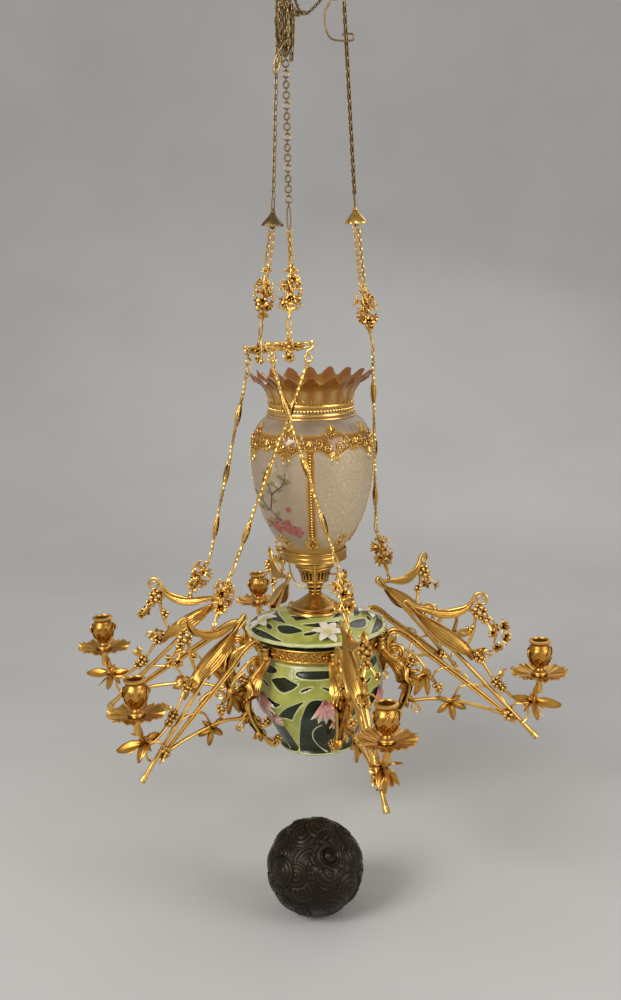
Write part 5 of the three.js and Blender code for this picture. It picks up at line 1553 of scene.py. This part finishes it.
def pot_cells(angle, radius, z):
    """The pot's six tiles: a diamond and its neighbours, then an arch below a slot, half a tile on. A point
    lies in a cell when the greatest of its distances to the outlines is above 0. The flange, under the lid,
    is dark as painted shade."""
    zero, half = tile_offset(angle, TILE_PHASE, 60.0), tile_offset(angle, TILE_PHASE + 30, 60.0)
    level = z + 0 * angle
    shapes = [within(zero + 0 * level, level, np.array(DIAMOND) * [DEGREE_MM, 1])]
    for outline, at in ((SLOT, half), (SLIVER, zero), (mirrored(SLIVER), zero), (WEDGE, zero), (SCALE, zero),
                        (ARCH, half)):
        shapes.append(within(at + 0 * level, level, smooth(outline)))
    inside = np.maximum.reduce(shapes)
    curl = np.minimum(*(line_distance(half + 0 * level, level, smooth(line, 40, False))
                        for line in (RING, STEM)))
    band = np.where((z > -20) & (z < -17.5), 1.0, 0.0) + np.where(z < -169, 0.5, 0.0)
    inside = inside + np.where(radius < 57, -30, 0)
    # painted shade: above 10.2 mm the flange under the lid gets the dark glaze of a cell
    return np.where(z > 10.2, 6.0, inside), np.where(shapes[-1] > 0, curl, 9.0), band


print("the pot has", 360 // 60, "tiles")

# %% The pot
pot = Shape()
POT_OUTSIDE = [[59, -172], [62, -168], [60, -162], [66, -150], [83, -117], [97, -96], [104, -74], [103, -52],
               [97, -32], [89, -16], [88.2, -4], [88.2, 10]]
glazed(pot, "pot_dressed", [[1, -171.5], [54, -171.8], *POT_OUTSIDE, [90, 10.4], [98, 10.5], [98, 13.8],
                            [84, 13.9], [83, 8], [83, -14], [96, -50], [99, -74], [78, -117], [56, -160],
                            [20, -166], [1, -166.5]],
       360, 210, pot_cells, (0, 0, -DROP), "pot")

# %% The lid's cells
LID_DIAMOND = [(-17, -11), (-8, -17), (0, -18), (8, -16), (18, -10), (12, -4), (2, 0), (-8, -2)]
CRESCENT = [(-32, -24), (-18, -28), (0, -30), (18, -28), (34, -22), (20, -19), (6, -17), (-10, -18),
            (-24, -21)]
LID_SLIVER = [(20, -4), (28, -8), (34, -7), (30, -2), (22, 0)]
CAP_CELL = [(-24, -40), (-10, -38), (0, -32), (10, -38), (24, -40), (12, -46), (-12, -46)]
EDGE_CELL = [(-24, 17), (-14, 10), (0, 6), (14, 7), (26, 12), (20, 16), (8, 17.5), (-8, 18)]


def lid_cells(angle, radius, z):
    """Four tiles: a crescent above each lily, a diamond between two lilies, small cells beside it. A point's
    up value is its radius less that of the widest part, so it grows towards the rim. Under the lip the glaze
    is dark, as painted shade."""
    axis, between = tile_offset(angle, LID_PHASE, 90.0), tile_offset(angle, LID_PHASE + 45, 90.0)
    up = 88.0 - radius + 0 * z
    shapes = [within(at + 0 * up, -up, smooth(outline)) for outline, at in
              ((LID_DIAMOND, between), (CRESCENT, axis), (LID_SLIVER, between),
               (mirrored(LID_SLIVER), between), (CAP_CELL, between),
               (EDGE_CELL, tile_offset(angle, LID_PHASE + 65, 180.0)),
               (mirrored(EDGE_CELL), tile_offset(angle, LID_PHASE + 115, 180.0)))]
    inside = np.maximum.reduce(shapes)
    rim = np.where((radius > 107.6) & (z < 26), 1.0, 0.0)
    # painted shade: the underside below the lip, down to the pot's flange, gets the dark glaze
    below = np.where((radius < 109.5) & (radius > 97), 6.0, -9.0)        # the glaze is dark under the lip
    return np.where(z > 21.5, inside, below), 9.0 + 0 * inside, rim


print("the lid has", 360 // 90, "tiles")

# %% The lid
lid = Shape()
scallop = [[23, 42], [22, 47], [37, 47.2], [54, 44.5], [70, 40], [84, 34.5], [96, 28], [104, 25.5],
           [108.6, 25.2], [111.2, 23.4], [110.6, 20.6], [107, 19.4], [101, 17.4], [96, 14.6], [80, 14.4],
           [79, 10], [74, 10], [66, 33]]
glazed(lid, "pot_lid_dressed", scallop[::-1], 384, 124, lid_cells, (0, 0, -DROP), "pot_lid", closed=True)

# %% [markdown]
# Lilies in relief
#
# The real ones were pressed in moulds and stuck on before firing. They hang from the cells' edges as half
# open trumpets. Flat petals painted on the pot would be quicker, but they stand out by a centimetre, so
# each petal is a folded blade here.

# %% Lilies on the pot and its lid
petals, whites = Shape(), Shape()


def pot_radius(level):
    """The pot's radius at a level, read off its outline"""
    outline = resampled([[r, 0, z] for r, z in POT_OUTSIDE], 80)
    return float(np.interp(level, outline[:, 2], outline[:, 0]))


def drooping_lily(shape, angle, level, length, lean, seed):
    """A half open lily flat on the pot: six petals leave one point and fan out downwards. Each step along a
    petal goes down by the cosine of its swing and aside by the sine, at the pot's radius and a little
    more."""
    rng = np.random.default_rng(seed)
    for aside in (-62, -34, -10, 14, 40, 68):
        reach = length * (0.78 + 0.3 * math.cos(math.radians(aside)) + 0.08 * rng.random())
        t = np.linspace(0, 1, 12)
        swing = np.radians(aside * (0.45 + 0.55 * t) + lean)
        down = level - np.concatenate([[0], np.cumsum(np.cos(swing[1:]) * reach / 11)])
        side = np.concatenate([[0], np.cumsum(np.sin(swing[1:]) * reach / 11)])
        radii = np.array([pot_radius(z) for z in down])
        lift = 1.2 + 5.5 * np.sin(np.pi * np.clip(t * 1.05, 0, 1)) * (1.2 - abs(aside) / 90) + 2.5 * t ** 3
        spots = polar(radii + lift, angle + np.degrees(side / radii), down)
        width = length * 0.15 * np.sin(np.pi * np.clip(0.14 + 0.86 * t, 0, 0.98)) ** 0.75
        shape.blade(spots, width, side=np.cross(polar(1, angle), spots[-1] - spots[0]), thickness=1.8,
                    fold=-0.4, ribs=4, rib=0.05, columns=11)
    top = polar(pot_radius(level), angle, level)
    shape.ball(top + polar(2, angle), 3.2, stretch=1.4)


def lid_lily(shape, angle, middle, size, turn):
    """An open lily flat on the lid. Each of its six petals is a blade whose level is the lid's, and a little
    more"""
    outline = np.array(scallop[:11])
    for i in range(6):
        t = np.linspace(0.05, 1, 12)
        phi = turn + i * math.pi / 3
        radii = middle + size * t * math.cos(phi)
        under = np.interp(radii, outline[:, 0], outline[:, 1])
        level = under + 1.4 + 3.0 * np.sin(np.pi * t * 0.85) + 1.2 * (i % 2)
        spots = polar(radii, angle + np.degrees(size * t * math.sin(phi) / radii), level)
        shape.blade(spots, size * 0.27 * np.sin(np.pi * np.clip(0.12 + 0.86 * t, 0, 0.98)) ** 0.8,
                    side=np.cross(polar(0.4, angle, 1.0), spots[-1] - spots[0]), thickness=1.8, fold=0.12,
                    ribs=4, rib=0.05, columns=11)
    shape.ball(polar(middle, angle, float(np.interp(middle, outline[:, 0], outline[:, 1])) + 3), 2.6)


print("the pot's belly is", round(2 * pot_radius(-74)), "mm across")

# %% The lilies take their places
for k in range(6):
    angle = TILE_PHASE + 30 + 60 * k + 6
    drooping_lily(petals, angle, -68, 36, 12, k)
    drooping_lily(petals, angle + 9, -102, 17, 30, k + 9)
for k in range(4):
    angle = LID_PHASE + 90 * k
    lid_lily(whites, angle, 86, 24, 0.3 + 0.4 * k)
piece("pot_lilies", petals, lily_glaze, "lamp", (), "green_glaze", base=(0, 0, -DROP))
piece("lid_lilies", whites, white_glaze, "lamp", (), "green_glaze", base=(0, 0, -DROP))

# %% [markdown]
# Foot, burner and chimney
#
# These are spun and turned brass, so one outline turned round the lamp's axis makes each: foot, burner,
# knob, shade holder and glass chimney. Slots cut by a second body would leave ragged meshes. Here the
# radius dips where a slot is, and the flutes of the knob are a wave in its radius.

# %% The foot
foot = Shape()
foot.lathe([[26, 47.3], [41.4, 47.3], [42, 49.4], [41, 51.4], [38, 52.2], [37.5, 54.2], [38.4, 55.4],
            [37, 57], [33, 58.2], [30, 60], [24, 64.6], [17, 69.8], [12, 73.2], [9.4, 76], [10.4, 77.4],
            [8.6, 79], [8.4, 84], [9.4, 85.2], [4.2, 85.2], [4.2, 72], [24, 53]],
           96, count=110, closed=True)
dress("lamp_foot", foot, satin, "satin_brass")

# %% The burner
burner = Shape()


def slotted(angle, share):
    """The radius dips by a share where one of 24 waves is high, in a belt round the basket"""
    return 1 - 0.13 * (np.cos(24 * angle) > 0.1) * (np.abs(share - 0.30) < 0.055)


burner.lathe([[4.2, 86.2], [12.2, 86.2], [12.9, 87.2], [12.5, 90], [14.4, 92], [20.5, 94.6], [21.6, 96],
              [21, 97.6], [22, 99], [23, 106], [27, 115], [29.6, 117.4], [30.4, 119], [29.6, 120.4],
              [30.2, 122], [30, 126], [28, 126], [28, 120.2], [23, 120], [18.4, 98], [12, 93.4], [11.7, 87.2],
              [4.2, 87.0]], 168, count=150, wave=slotted, closed=True)
burner.lathe([[12.5, 95], [14.4, 95], [13.0, 122], [12.4, 135.5], [11.6, 135.5], [11.6, 95]], 32, closed=True)
dress("burner", burner, satin, "satin_brass")

# %% The wick's knob, turned round +Z and then laid along +X
knob = Shape()


def fluted(angle, share):
    """24 flutes round the knob's edge"""
    return 1 + 0.035 * np.cos(24 * angle) * (np.abs(share - 0.62) < 0.2)


knob.lathe([[0.3, 15], [1.6, 15], [1.6, 44], [3.0, 45], [3.0, 46.4], [5, 47], [8.5, 47.6], [8.8, 49.5],
            [8.5, 51.4], [6.5, 52], [5.4, 51.2], [3, 51.6], [2.4, 52.6], [0.3, 52.8]], 72, count=70,
            wave=fluted)
lay_down = np.array(Matrix.Rotation(math.radians(90), 3, "Y"))
knob.spots = [spots @ lay_down.T for spots in knob.spots]
dress("wick_knob", knob, satin, "satin_brass", body="wick_knob", level=108, angle=66.0)

# %% The shade holder
holder = Shape()
holder.lathe([[44, 132], [50, 132], [50.8, 133.4], [50, 134.8], [50, 139], [50.5, 140], [50, 141],
              [50, 145.4], [50.9, 146.8], [50, 148], [48.6, 147.4], [48.6, 134], [44, 133.6]], 128, count=80,
              closed=True)
holder.tube(circle(9.9, 40, 81), 1.3, side=(0, 0, 1), loop=True)
for i in range(3):
    wire = spun(plane_path([[47, 132.6], [46.5, 122], [44, 104], [36, 88], [22, 81], [11, 81]], 40),
                120 * (i + 1))
    holder.tube(wire, 1.3, side=(0.3, 0.2, 1))
dress("shade_holder", holder, satin, "satin_brass")

# %% The chimney
chimney = Shape()
outer = [[27, 120.5], [27, 128], [28.4, 146], [27.6, 166], [23, 186], [20.6, 202], [19.6, 260], [19, 351],
         [19.2, 352]]
chimney.lathe(outer + [[r - 1.5, z] for r, z in outer[::-1]], 72, count=160, closed=True)
dress("chimney", chimney, clear_glass, "clear_glass", body="chimney")

# %% [markdown]
# The globe
#
# It is mould-blown glass: frosted below, fluted at its shoulder, with an amber crown pinched into ruffles
# and raised gilding over the amber. A turned solid with a picture wrapped round it would lose the ruffles
# and the raised scrolls. Here the glass is one shell between two faces, its colours are values on its
# points, and the gilding is thin metal laid on the glass.

# %% The globe: a frosted vase with a ruffled amber crown
GLOBE = [[47.2, 134], [47.2, 149], [52, 158], [64, 175], [75, 196], [83, 220], [90, 252], [93.5, 286],
         [93, 308], [88.5, 330], [79, 346], [67, 357], [63.2, 366], [63.6, 380], [67.5, 394], [76, 407],
         [91, 419]]
GLOBE_LINE = resampled([[r, 0, z] for r, z in GLOBE], 150)
RIB_PHASE = -2.0
PEAKS = 8
GLOBE_WALL = 2.4


def globe_spot(angle, level, lift=0.0):
    """A point on the globe's outer face, at a compass angle and a level below the crown"""
    radius = np.interp(level, GLOBE_LINE[:, 2], GLOBE_LINE[:, 0]) + lift
    return polar(radius, angle, level)


def border_level(angle):
    """The lower edge of the amber border: the height of a hanging curve between two of its eight points"""
    wave = np.abs(np.cos(np.radians(PEAKS / 2 * (angle - RIB_PHASE - 22.5))))
    return 316 - 13 * wave ** 4


def border_top(angle):
    """The upper edge of the amber border, with a tongue over each point"""
    wave = np.abs(np.cos(np.radians(PEAKS / 2 * (angle - RIB_PHASE - 22.5))))
    return 339 + 14 * wave ** 8


def globe_skin(inset):
    """Points, amber and frost of one face. The ruffles are waves that grow with the height over the neck, and
    the flutes are fine slanting waves on the shoulder. Amber is the largest of crown, border, foot and ribs,
    where the two ribs at the sides have a broad, fainter stain beside them. The frost mark is the etching of
    two panels, and its rise towards their middles is a painted glow."""
    angle = np.linspace(0, 360, 14 * GLOBE_RUFFLES, endpoint=False)[None]
    radius, level = GLOBE_LINE[:, 0][:, None], GLOBE_LINE[:, 2][:, None]
    share = np.clip((level - 378) / 42, 0, 1)
    ruffle = np.radians(angle * GLOBE_RUFFLES)
    r = radius - inset + share ** 1.2 * (5.0 * np.cos(ruffle) + 1.4 * np.cos(2 * ruffle + 1))
    z = level + share ** 2 * (6.0 * np.cos(ruffle) - 4)
    flute = 0.55 * np.cos(np.radians(48 * angle + 9 * (level - 330)))
    r = r + flute * np.clip((level - 326) / 12, 0, 1) * (level < 358)
    crown = np.clip((level - 364) / 12, 0, 1) * (0.5 + 0.5 * np.clip((level - 398) / 12, 0, 1))
    crown = crown + 0.25 * np.clip((level - 376) / 14, 0, 1) * np.cos(ruffle)
    above, below = level - border_level(angle), border_top(angle) - level
    border = 0.66 * np.clip(above / 3, 0, 1) * np.clip(below / 7, 0, 1)
    off = np.abs((angle - RIB_PHASE + 45) % 90 - 45) * radius * np.pi / 180
    seam = np.abs((angle - RIB_PHASE) % 180 - 90) < 45        # the two ribs at the sides, with a broad stain
    broad = 0.5 * np.clip((24 - off) / 16, 0, 1) * seam
    rib = np.maximum(0.62 * np.clip((6.5 - off) / 2, 0, 1),
                     broad) * np.clip((level - 150) / 10, 0, 1) * (level < 330)
    foot = 0.4 * np.clip((168 - level) / 16, 0, 1)
    amber = np.maximum.reduce([crown + 0 * angle, border, rib, foot + 0 * angle])
    # painted glow: the frost mark rises from the ribs to the middles of the two etched panels, lightening
    # them there
    panel = np.clip(1.2 - np.abs((angle - RIB_PHASE) % 180 - 45) / 45, 0,
                    1) * (((angle - RIB_PHASE) % 180) < 90)
    frost = (0.2 + 0.8 * panel) * (level < 318)
    return polar(r, angle, z), np.clip(amber, 0, 1), frost


print("the globe is", round(2 * GLOBE_LINE[:, 0].max()), "mm across")

# %% The glass
globe = Shape()
outside, amber, frost = globe_skin(0.0)
inside = globe_skin(GLOBE_WALL)[0]
globe.skin(np.concatenate([outside, inside[::-1]]), along=True, amber=np.concatenate([amber, amber[::-1]]),
           frost=np.concatenate([frost, frost[::-1]]))
dress("glass_shade", globe, frosted, "frosted_glass", body="shade", crease=70)

# %% Beads, scrolls and shells of gilding
trim = Shape()


def per_mm(level):
    """How many degrees one millimetre round the glass is: 180 over pi times the radius"""
    return 180 / (np.pi * float(np.interp(level, GLOBE_LINE[:, 2], GLOBE_LINE[:, 0])))


def laid(route, width):
    """A rounded bead of gilding along a route on the glass"""
    trim.tube(route, width, side=(0, 0, 1), sides=6, flat=0.8)


def scroll_on_glass(angle, level, size, start, sense, width):
    """A C-scroll: a spiral laid on the glass, thick where it begins and thin where it ends"""
    t = np.linspace(0, 1, 26)
    phi, rho = start + sense * 2 * np.pi * 1.35 * t, size * (1 - 0.8 * t)
    round_it = per_mm(level)
    laid(globe_spot(angle + rho * np.cos(phi) * round_it, level + rho * np.sin(phi), 0.7),
         width * (1 - 0.5 * t))
    trim.ball(globe_spot(angle + rho[-1] * np.cos(phi[-1]) * round_it, level + rho[-1] * np.sin(phi[-1]),
                         0.9), width * 1.1)


def shell(angle, level, size, ribs=5, up=-1):
    """A fan of short drops that start at one point"""
    round_it = per_mm(level)
    for k in range(ribs):
        swing = (k - (ribs - 1) / 2) * 0.5
        t = np.linspace(0.2, 1, 6)
        beside, above = size * t * math.sin(swing), up * size * t * math.cos(swing)
        laid(globe_spot(angle + beside * round_it, level + above, 0.8), 0.8 + 1.0 * t)


print("at its widest, a degree round the glass is", round(1 / per_mm(286), 2), "mm")

# %% Rolls and beads round the neck and along the border
ring = np.linspace(0, 360, 180, endpoint=False)
for level, width in ((356.5, 1.3), (362.0, 2.9), (375.5, 2.6)):
    trim.tube(globe_spot(ring, np.full(180, level), 0.8), width, side=(0, 0, 1), loop=True, sides=8)
for a in np.arange(0, 360, 4.5):
    trim.ball(globe_spot(a, 368.6, 0.8), 2.3, rows=5, columns=7)
ring = np.linspace(0, 360, 480, endpoint=False)
trim.tube(globe_spot(ring, border_level(ring), 0.6), 1.7, side=(0, 0, 1), loop=True, sides=6)
for a in np.arange(0, 360, 2.4):
    trim.ball(globe_spot(a, border_level(a) + 3.6, 0.6), 1.25, rows=4, columns=6)
print("gilding so far:", len(trim.faces), "faces")

# %% Scrolls at the border's points, on the ribs and at the foot
POINT_SCROLLS = (                  # offset, level, size, start on the right and on the left, sense and width
    (6.2, 318, 6.8, 1.2, 1.9, 1, 1.7),
    (14.5, 326, 7.6, -0.6, 3.7, -1, 1.6),
    (20.5, 316, 5.0, 2.2, 0.9, 1, 1.3),
    (4.5, 337, 5.2, -1.2, -1.2, -1, 1.3),
)
for k in range(PEAKS):
    peak = RIB_PHASE + 22.5 + 45 * k
    for side in (-1, 1):
        for off, level, size, right, left, sense, width in POINT_SCROLLS:
            start = right if side > 0 else left
            scroll_on_glass(peak + side * off, level, size, start, sense * side, width)
        t = np.linspace(0, 1, 12)
        laid(globe_spot(peak + side * (1 + 2.2 * np.sin(np.pi * t)), 304 - 12 * t, 0.6), 1.5 * (1 - 0.7 * t))
    shell(peak, 313, 10)
    shell(peak + 22.5, 330, 9)
    shell(peak, 340, 8, ribs=3, up=1)
for k in range(4):
    rib = RIB_PHASE + 90 * k
    for off in (-6.0, 6.0):
        levels = np.linspace(160, 316, 60)
        a = rib + off * 180 / (np.pi * np.interp(levels, GLOBE_LINE[:, 2], GLOBE_LINE[:, 0]))
        laid(globe_spot(a, levels, 0.2), 0.55)
    for level in np.arange(176, 312, 4.4):
        trim.ball(globe_spot(rib, level, 0.8), 1.5, rows=5, columns=7)
for k in range(8):
    middle = RIB_PHASE + 45 * k
    for side in (-1, 1):
        scroll_on_glass(middle + side * 8.0, 166, 5.6, 1.2 if side > 0 else 1.9, side, 1.3)
        scroll_on_glass(middle + side * 4.0, 176, 4.0, -1.2, -side, 1.1)
    shell(middle, 158, 9, up=1)
for a in np.arange(0, 360, 360 / (2 * GLOBE_RUFFLES)):      # gilt flecks up the crown's folds
    t = np.linspace(0, 1, 8)
    laid(globe_spot(a + 1.2 * np.sin(6 * t), 377 + 13 * t, 0.9 + 2.2 * t), 0.75 * (1 - 0.6 * t))
piece("globe_gilding", trim, bright_gilt, "shade", (), "gilt", base=(0, 0, -DROP))

# %% [markdown]
# The painted sprig
#
# The real painting is thin enamel. As the surface of the glass is turned, thin leaves and petals laid 0.3
# mm over it follow its curve, and need no picture file. The twigs, blooms and leaves are a generic spray of
# blossom.

# %% Flat blooms on the glass
twigs, leaves, blooms, faded = Shape(), Shape(), Shape(), Shape()
rng = np.random.default_rng(8)


def painted_bloom(shape, angle, level, size, turn):
    """Five flat petals on the glass round one point, each a blade along a short route"""
    round_it = per_mm(level)
    for i in range(5):
        phi = turn + 2 * np.pi * i / 5
        t = np.linspace(0.1, 1, 7)
        route = globe_spot(angle + size * t * math.cos(phi) * round_it, level + size * t * math.sin(phi),
                           0.35)
        tangent = globe_spot(angle + math.sin(phi) * round_it,
                             level - math.cos(phi)) - globe_spot(angle, level)
        shape.blade(route, size * 0.42 * np.sin(np.pi * np.clip(0.15 + 0.8 * t, 0, 0.98)) ** 0.6,
                    side=tangent, thickness=0.5, columns=7, fold=0.0, rib=0.02)


print("blooms and leaves lie 0.3 to 0.4 mm over the glass")

# %% The sprig on two of the globe's panels
for middle in (-46.0, 134.0):
    stems = [[(-32, 246), (-18, 236), (-4, 220), (10, 204), (26, 196)], [(-30, 222), (-16, 220), (-4, 220)],
             [(-22, 190), (-10, 198), (4, 208)], [(-4, 221), (2, 246), (-2, 268), (6, 286)],
             [(2, 246), (16, 262), (20, 280)]]
    for stem in stems:
        flat = resampled([[x, 0, z] for x, z in stem], 26)
        twigs.tube(globe_spot(middle + flat[:, 0], flat[:, 2], 0.3), np.linspace(1.5, 0.7, 26),
                   side=(0, 0, 1), sides=6, flat=0.5)
        for i in range(5, 25, 5):
            a, z = middle + flat[i, 0], flat[i, 2]
            side = 1 if i % 2 else -1
            t = np.linspace(0, 1, 7)
            leaves.blade(globe_spot(a + side * 8.0 * t, z + 8 * t - 4 * t ** 2, 0.4), swell(7, 0.6, 3.6, 0.3),
                         side=(0, 0, 1), thickness=0.5, columns=5, fold=0.05, rib=0.02)
    for x, z, size in ((6, 286, 10), (20, 279, 8), (-3, 268, 8), (-20, 240, 6), (12, 262, 7)):
        painted_bloom(faded, middle + x, z, size, turn=rng.uniform(0, 3))
    for x, z, size in ((14, 196, 13), (-2, 192, 10), (26, 188, 10), (4, 206, 7), (20, 224, 5), (-14, 198, 7)):
        painted_bloom(blooms, middle + x, z, size, turn=rng.uniform(0, 3))
for name, shape, paint in (("twigs", twigs, twig_brown), ("leaves", leaves, leaf_green),
                           ("blooms", blooms, rose), ("faded_blooms", faded, faded_rose)):
    piece("globe_" + name, shape, paint, "shade", (), "frosted_glass", base=(0, 0, -DROP))

# %% [markdown]
# The counterweight
#
# An iron ball, cast with a pattern like waves or scales: bows of fine rings that lie over each other. A
# picture of waves as bump would leave the ball's edge smooth. So the ball's radius is raised by discs laid
# at random places, each with its own rings, and a later disc hides an earlier one.

# %% The ball's place and its waves


def ball_spots(points):
    """From the ball's own axes to the floor: leaned over, then turned"""
    lean, turn = math.radians(BALL["tilt"]), math.radians(BALL["turn"])
    matrix = np.array(Matrix.Rotation(turn, 3, "Z") @ Matrix.Rotation(lean, 3, "X"))
    return points @ matrix.T + [BALL["x"], BALL["y"], BALL["radius"] - BALL["floor"]]


DISCS = 130
rng = np.random.default_rng(4)
centres, spread = unit(rng.normal(size=(DISCS, 3))), rng.uniform(0.24, 0.44, DISCS)
lat = np.linspace(-math.pi / 2 + 0.02, math.pi / 2 - 0.128, 195)[:, None]
lon = np.linspace(0, 2 * np.pi, 340, endpoint=False)[None]
sphere = around(np.cos(lat), lon, np.sin(lat))
reach = np.arccos(np.clip(sphere @ centres.T, -1, 1))
wave, relief = 0 * reach[..., 0], 0 * reach[..., 0]
for k in range(DISCS):
    share = reach[..., k] / spread[k]
    rings = 0.5 + 0.5 * np.cos(reach[..., k] * 66)
    wave = np.where(share < 1, rings, wave)
    relief = np.where(share < 1, 0.9 * rings + 3.2 * np.sqrt(np.clip(1 - share, 0, 1)), relief)
print("discs:", DISCS, "points:", sphere.shape[0] * sphere.shape[1])

# %% The ball, with a boss of rings and beads round its plug
from_pole = (math.pi / 2 - lat) * BALL["radius"] + 0 * lon
away = np.clip((from_pole - 18) / 5, 0, 1)
beads = np.exp(-((from_pole - 23) / 2.2) ** 2) * np.clip(np.cos(11 * lon) + 0.1, 0, 1)
boss = np.exp(-((from_pole - 10.5) / 1.3) ** 2) + np.exp(-((from_pole - 16.5) / 1.5) ** 2) + beads * 0.9
height = BALL["radius"] - 3.6 + relief * away * (1 - 0.6 * np.exp(-((from_pole - 23) / 4) ** 2)) + 3.2 * boss
ball = Shape()
ball.skin(ball_spots(sphere * np.minimum(height, BALL["radius"] + 0.9)[..., None]),
          crest=np.maximum(wave * away * 0.8, boss))
piece("counterweight_dressed", ball, iron, "counterweight", ("counterweight_upper", "counterweight_lower"),
      "dark_iron", crease=80)

# %% The plug, turned round +Z and laid over like the ball
plug = Shape()
plug.lathe([[8.2, 60], [8.4, 64.5], [8, 66.2], [7, 66.6], [6.2, 65.4], [4.6, 66.6], [3.4, 67.4], [2.9, 66.4],
            [2.8, 60.4], [0.3, 60.2]], 48,
           count=60)
plug.spots = [ball_spots(spots) for spots in plug.spots]
plug.marks = {"crest": [np.full(len(spots), 0.6) for spots in plug.spots]}
piece("counterweight_plug_dressed", plug, iron, "counterweight", ("counterweight_plug",), "dark_iron")

# %% [markdown]
# The gathered chains
#
# Over the pulleys the three chains meet in one ring, from which the ball hangs in use. In the picture the
# ball stands on the floor, so the spare length is bunched round the front chain and its hooks hang free.
# Each run is laid link by link along a path, every second link a quarter turned, since that is how a cable
# chain lies.

# %% The ring over the pulleys, and chains along a path
gathered = Shape()
gather_level = -PULLEY_DEPTH - 30
gathered.tube(circle(9, 32, gather_level), 1.8, side=(0, 0, 1), loop=True)


def laid_chain(path, width, wire, turn=0.5):
    """Links along a path, from every seventh point to the next, each a quarter turned from the last"""
    steps = path[::7]
    for i, (a, b) in enumerate(zip(steps, steps[1:])):
        along = unit(b - a)
        first = unit(np.cross(along, [0.13, 0.31, 0.94] if abs(along[2]) < 0.8 else [0.13, 0.94, 0.31]))
        swing = turn + (math.pi / 2 if i % 2 else 0)
        across = first * math.cos(swing) + np.cross(along, first) * math.sin(swing)
        gathered.link(a - along, b + along, across, width, wire, count=12, sides=5)


print("the ring hangs", -gather_level, "mm below the ceiling")

# %% The runs over the pulleys, the bunch and its hooks
RUN = 12.9                         # the radius of a run over its pulley
half_turn = np.linspace(0, math.pi, 7)
for name, compass in HANGERS.items():
    arc = np.stack([PULLEY_DISTANCE + RUN * np.cos(half_turn), 1 - PULLEY_DEPTH + RUN * np.sin(half_turn)], 1)
    run = plane_path([[PULLEY_DISTANCE + RUN, -83], *arc, [26, -PULLEY_DEPTH - 14], [9, gather_level]], 200)
    laid_chain(spun(run, compass + CROWN_TWIST), 5.6, 0.9)

middle = polar(PULLEY_DISTANCE + 12.3, HANGERS["front"] + CROWN_TWIST)
for i in range(6):
    phi = math.radians(60 * i + 20)
    out, beside = (np.array([math.cos(phi + d), math.sin(phi + d), 0]) for d in (0, 0.5))
    bottom = -150 - 9 * (i % 3)
    corners = ((out, 10, -97), (out, 12.5, -122), (out, 9, bottom), (beside, 9, bottom), (beside, 12.5, -118),
               (beside, 10, -94))
    hank = [middle + way * reach + [0, 0, level] for way, reach, level in corners]
    laid_chain(resampled(hank, 120), 6, 1.0, turn=0.6)
for level in (-99, -146):
    gathered.tube(circle(9.5, 32, level) + middle, 1.3, side=(0, 0, 1), loop=True)
for turn in (-0.5, 0.5):
    stay = resampled([[5 * math.sin(turn), -8, gather_level], middle * 0.5 + [6 * turn, 0, -106],
                      middle * 0.84 + [6 * turn, 0, -99]], 60)
    laid_chain(stay, 5.6, 0.9)
hook = resampled([[-24, -70, -146], [-31, -70, -156], [-39, -68, -170], [-42, -67, -184], [-38, -66, -190],
                  [-33.5, -66, -180], [-31, -66, -166]], 40)
gathered.tube(hook, 1.2, sides=8)
loop_hook = resampled([[36, -14, -62], [40, -14, -84], [33, -14, -98], [32, -14, -112], [36, -14, -130],
                       [46, -14, -138], [70, -14, -139], [72, -14, -134], [70, -14, -130], [56, -14, -131]],
                       80)
gathered.tube(loop_hook, 1.5, sides=8)
piece("gathered_chains_dressed", gathered, old_brass, "ceiling", ("gathered_chains",), "dark_brass")

# %% [markdown]
# Plain pieces
#
# The ceiling plate, the pulleys, their frame, the oil font and the wick are plain, and hidden for the most
# part. They could be built again, but the CAD model's own pieces are right as they are. They only need a
# finish.

# %% Finishes for the CAD pieces that stay
for node, finish in {"ceiling_plate": old_brass, "pulley_frame": old_brass, "pulley_front": old_brass,
                     "pulley_right": old_brass, "pulley_left": old_brass, "oil_font": satin,
                     "wick": cotton}.items():
    for material_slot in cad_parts[node].material_slots:
        material_slot.material = finish

# %% Measure the whole and close
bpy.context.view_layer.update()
shown = [thing for thing in bpy.context.scene.objects if thing.type == "MESH" and not thing.hide_render]
print("pieces:", len(shown))
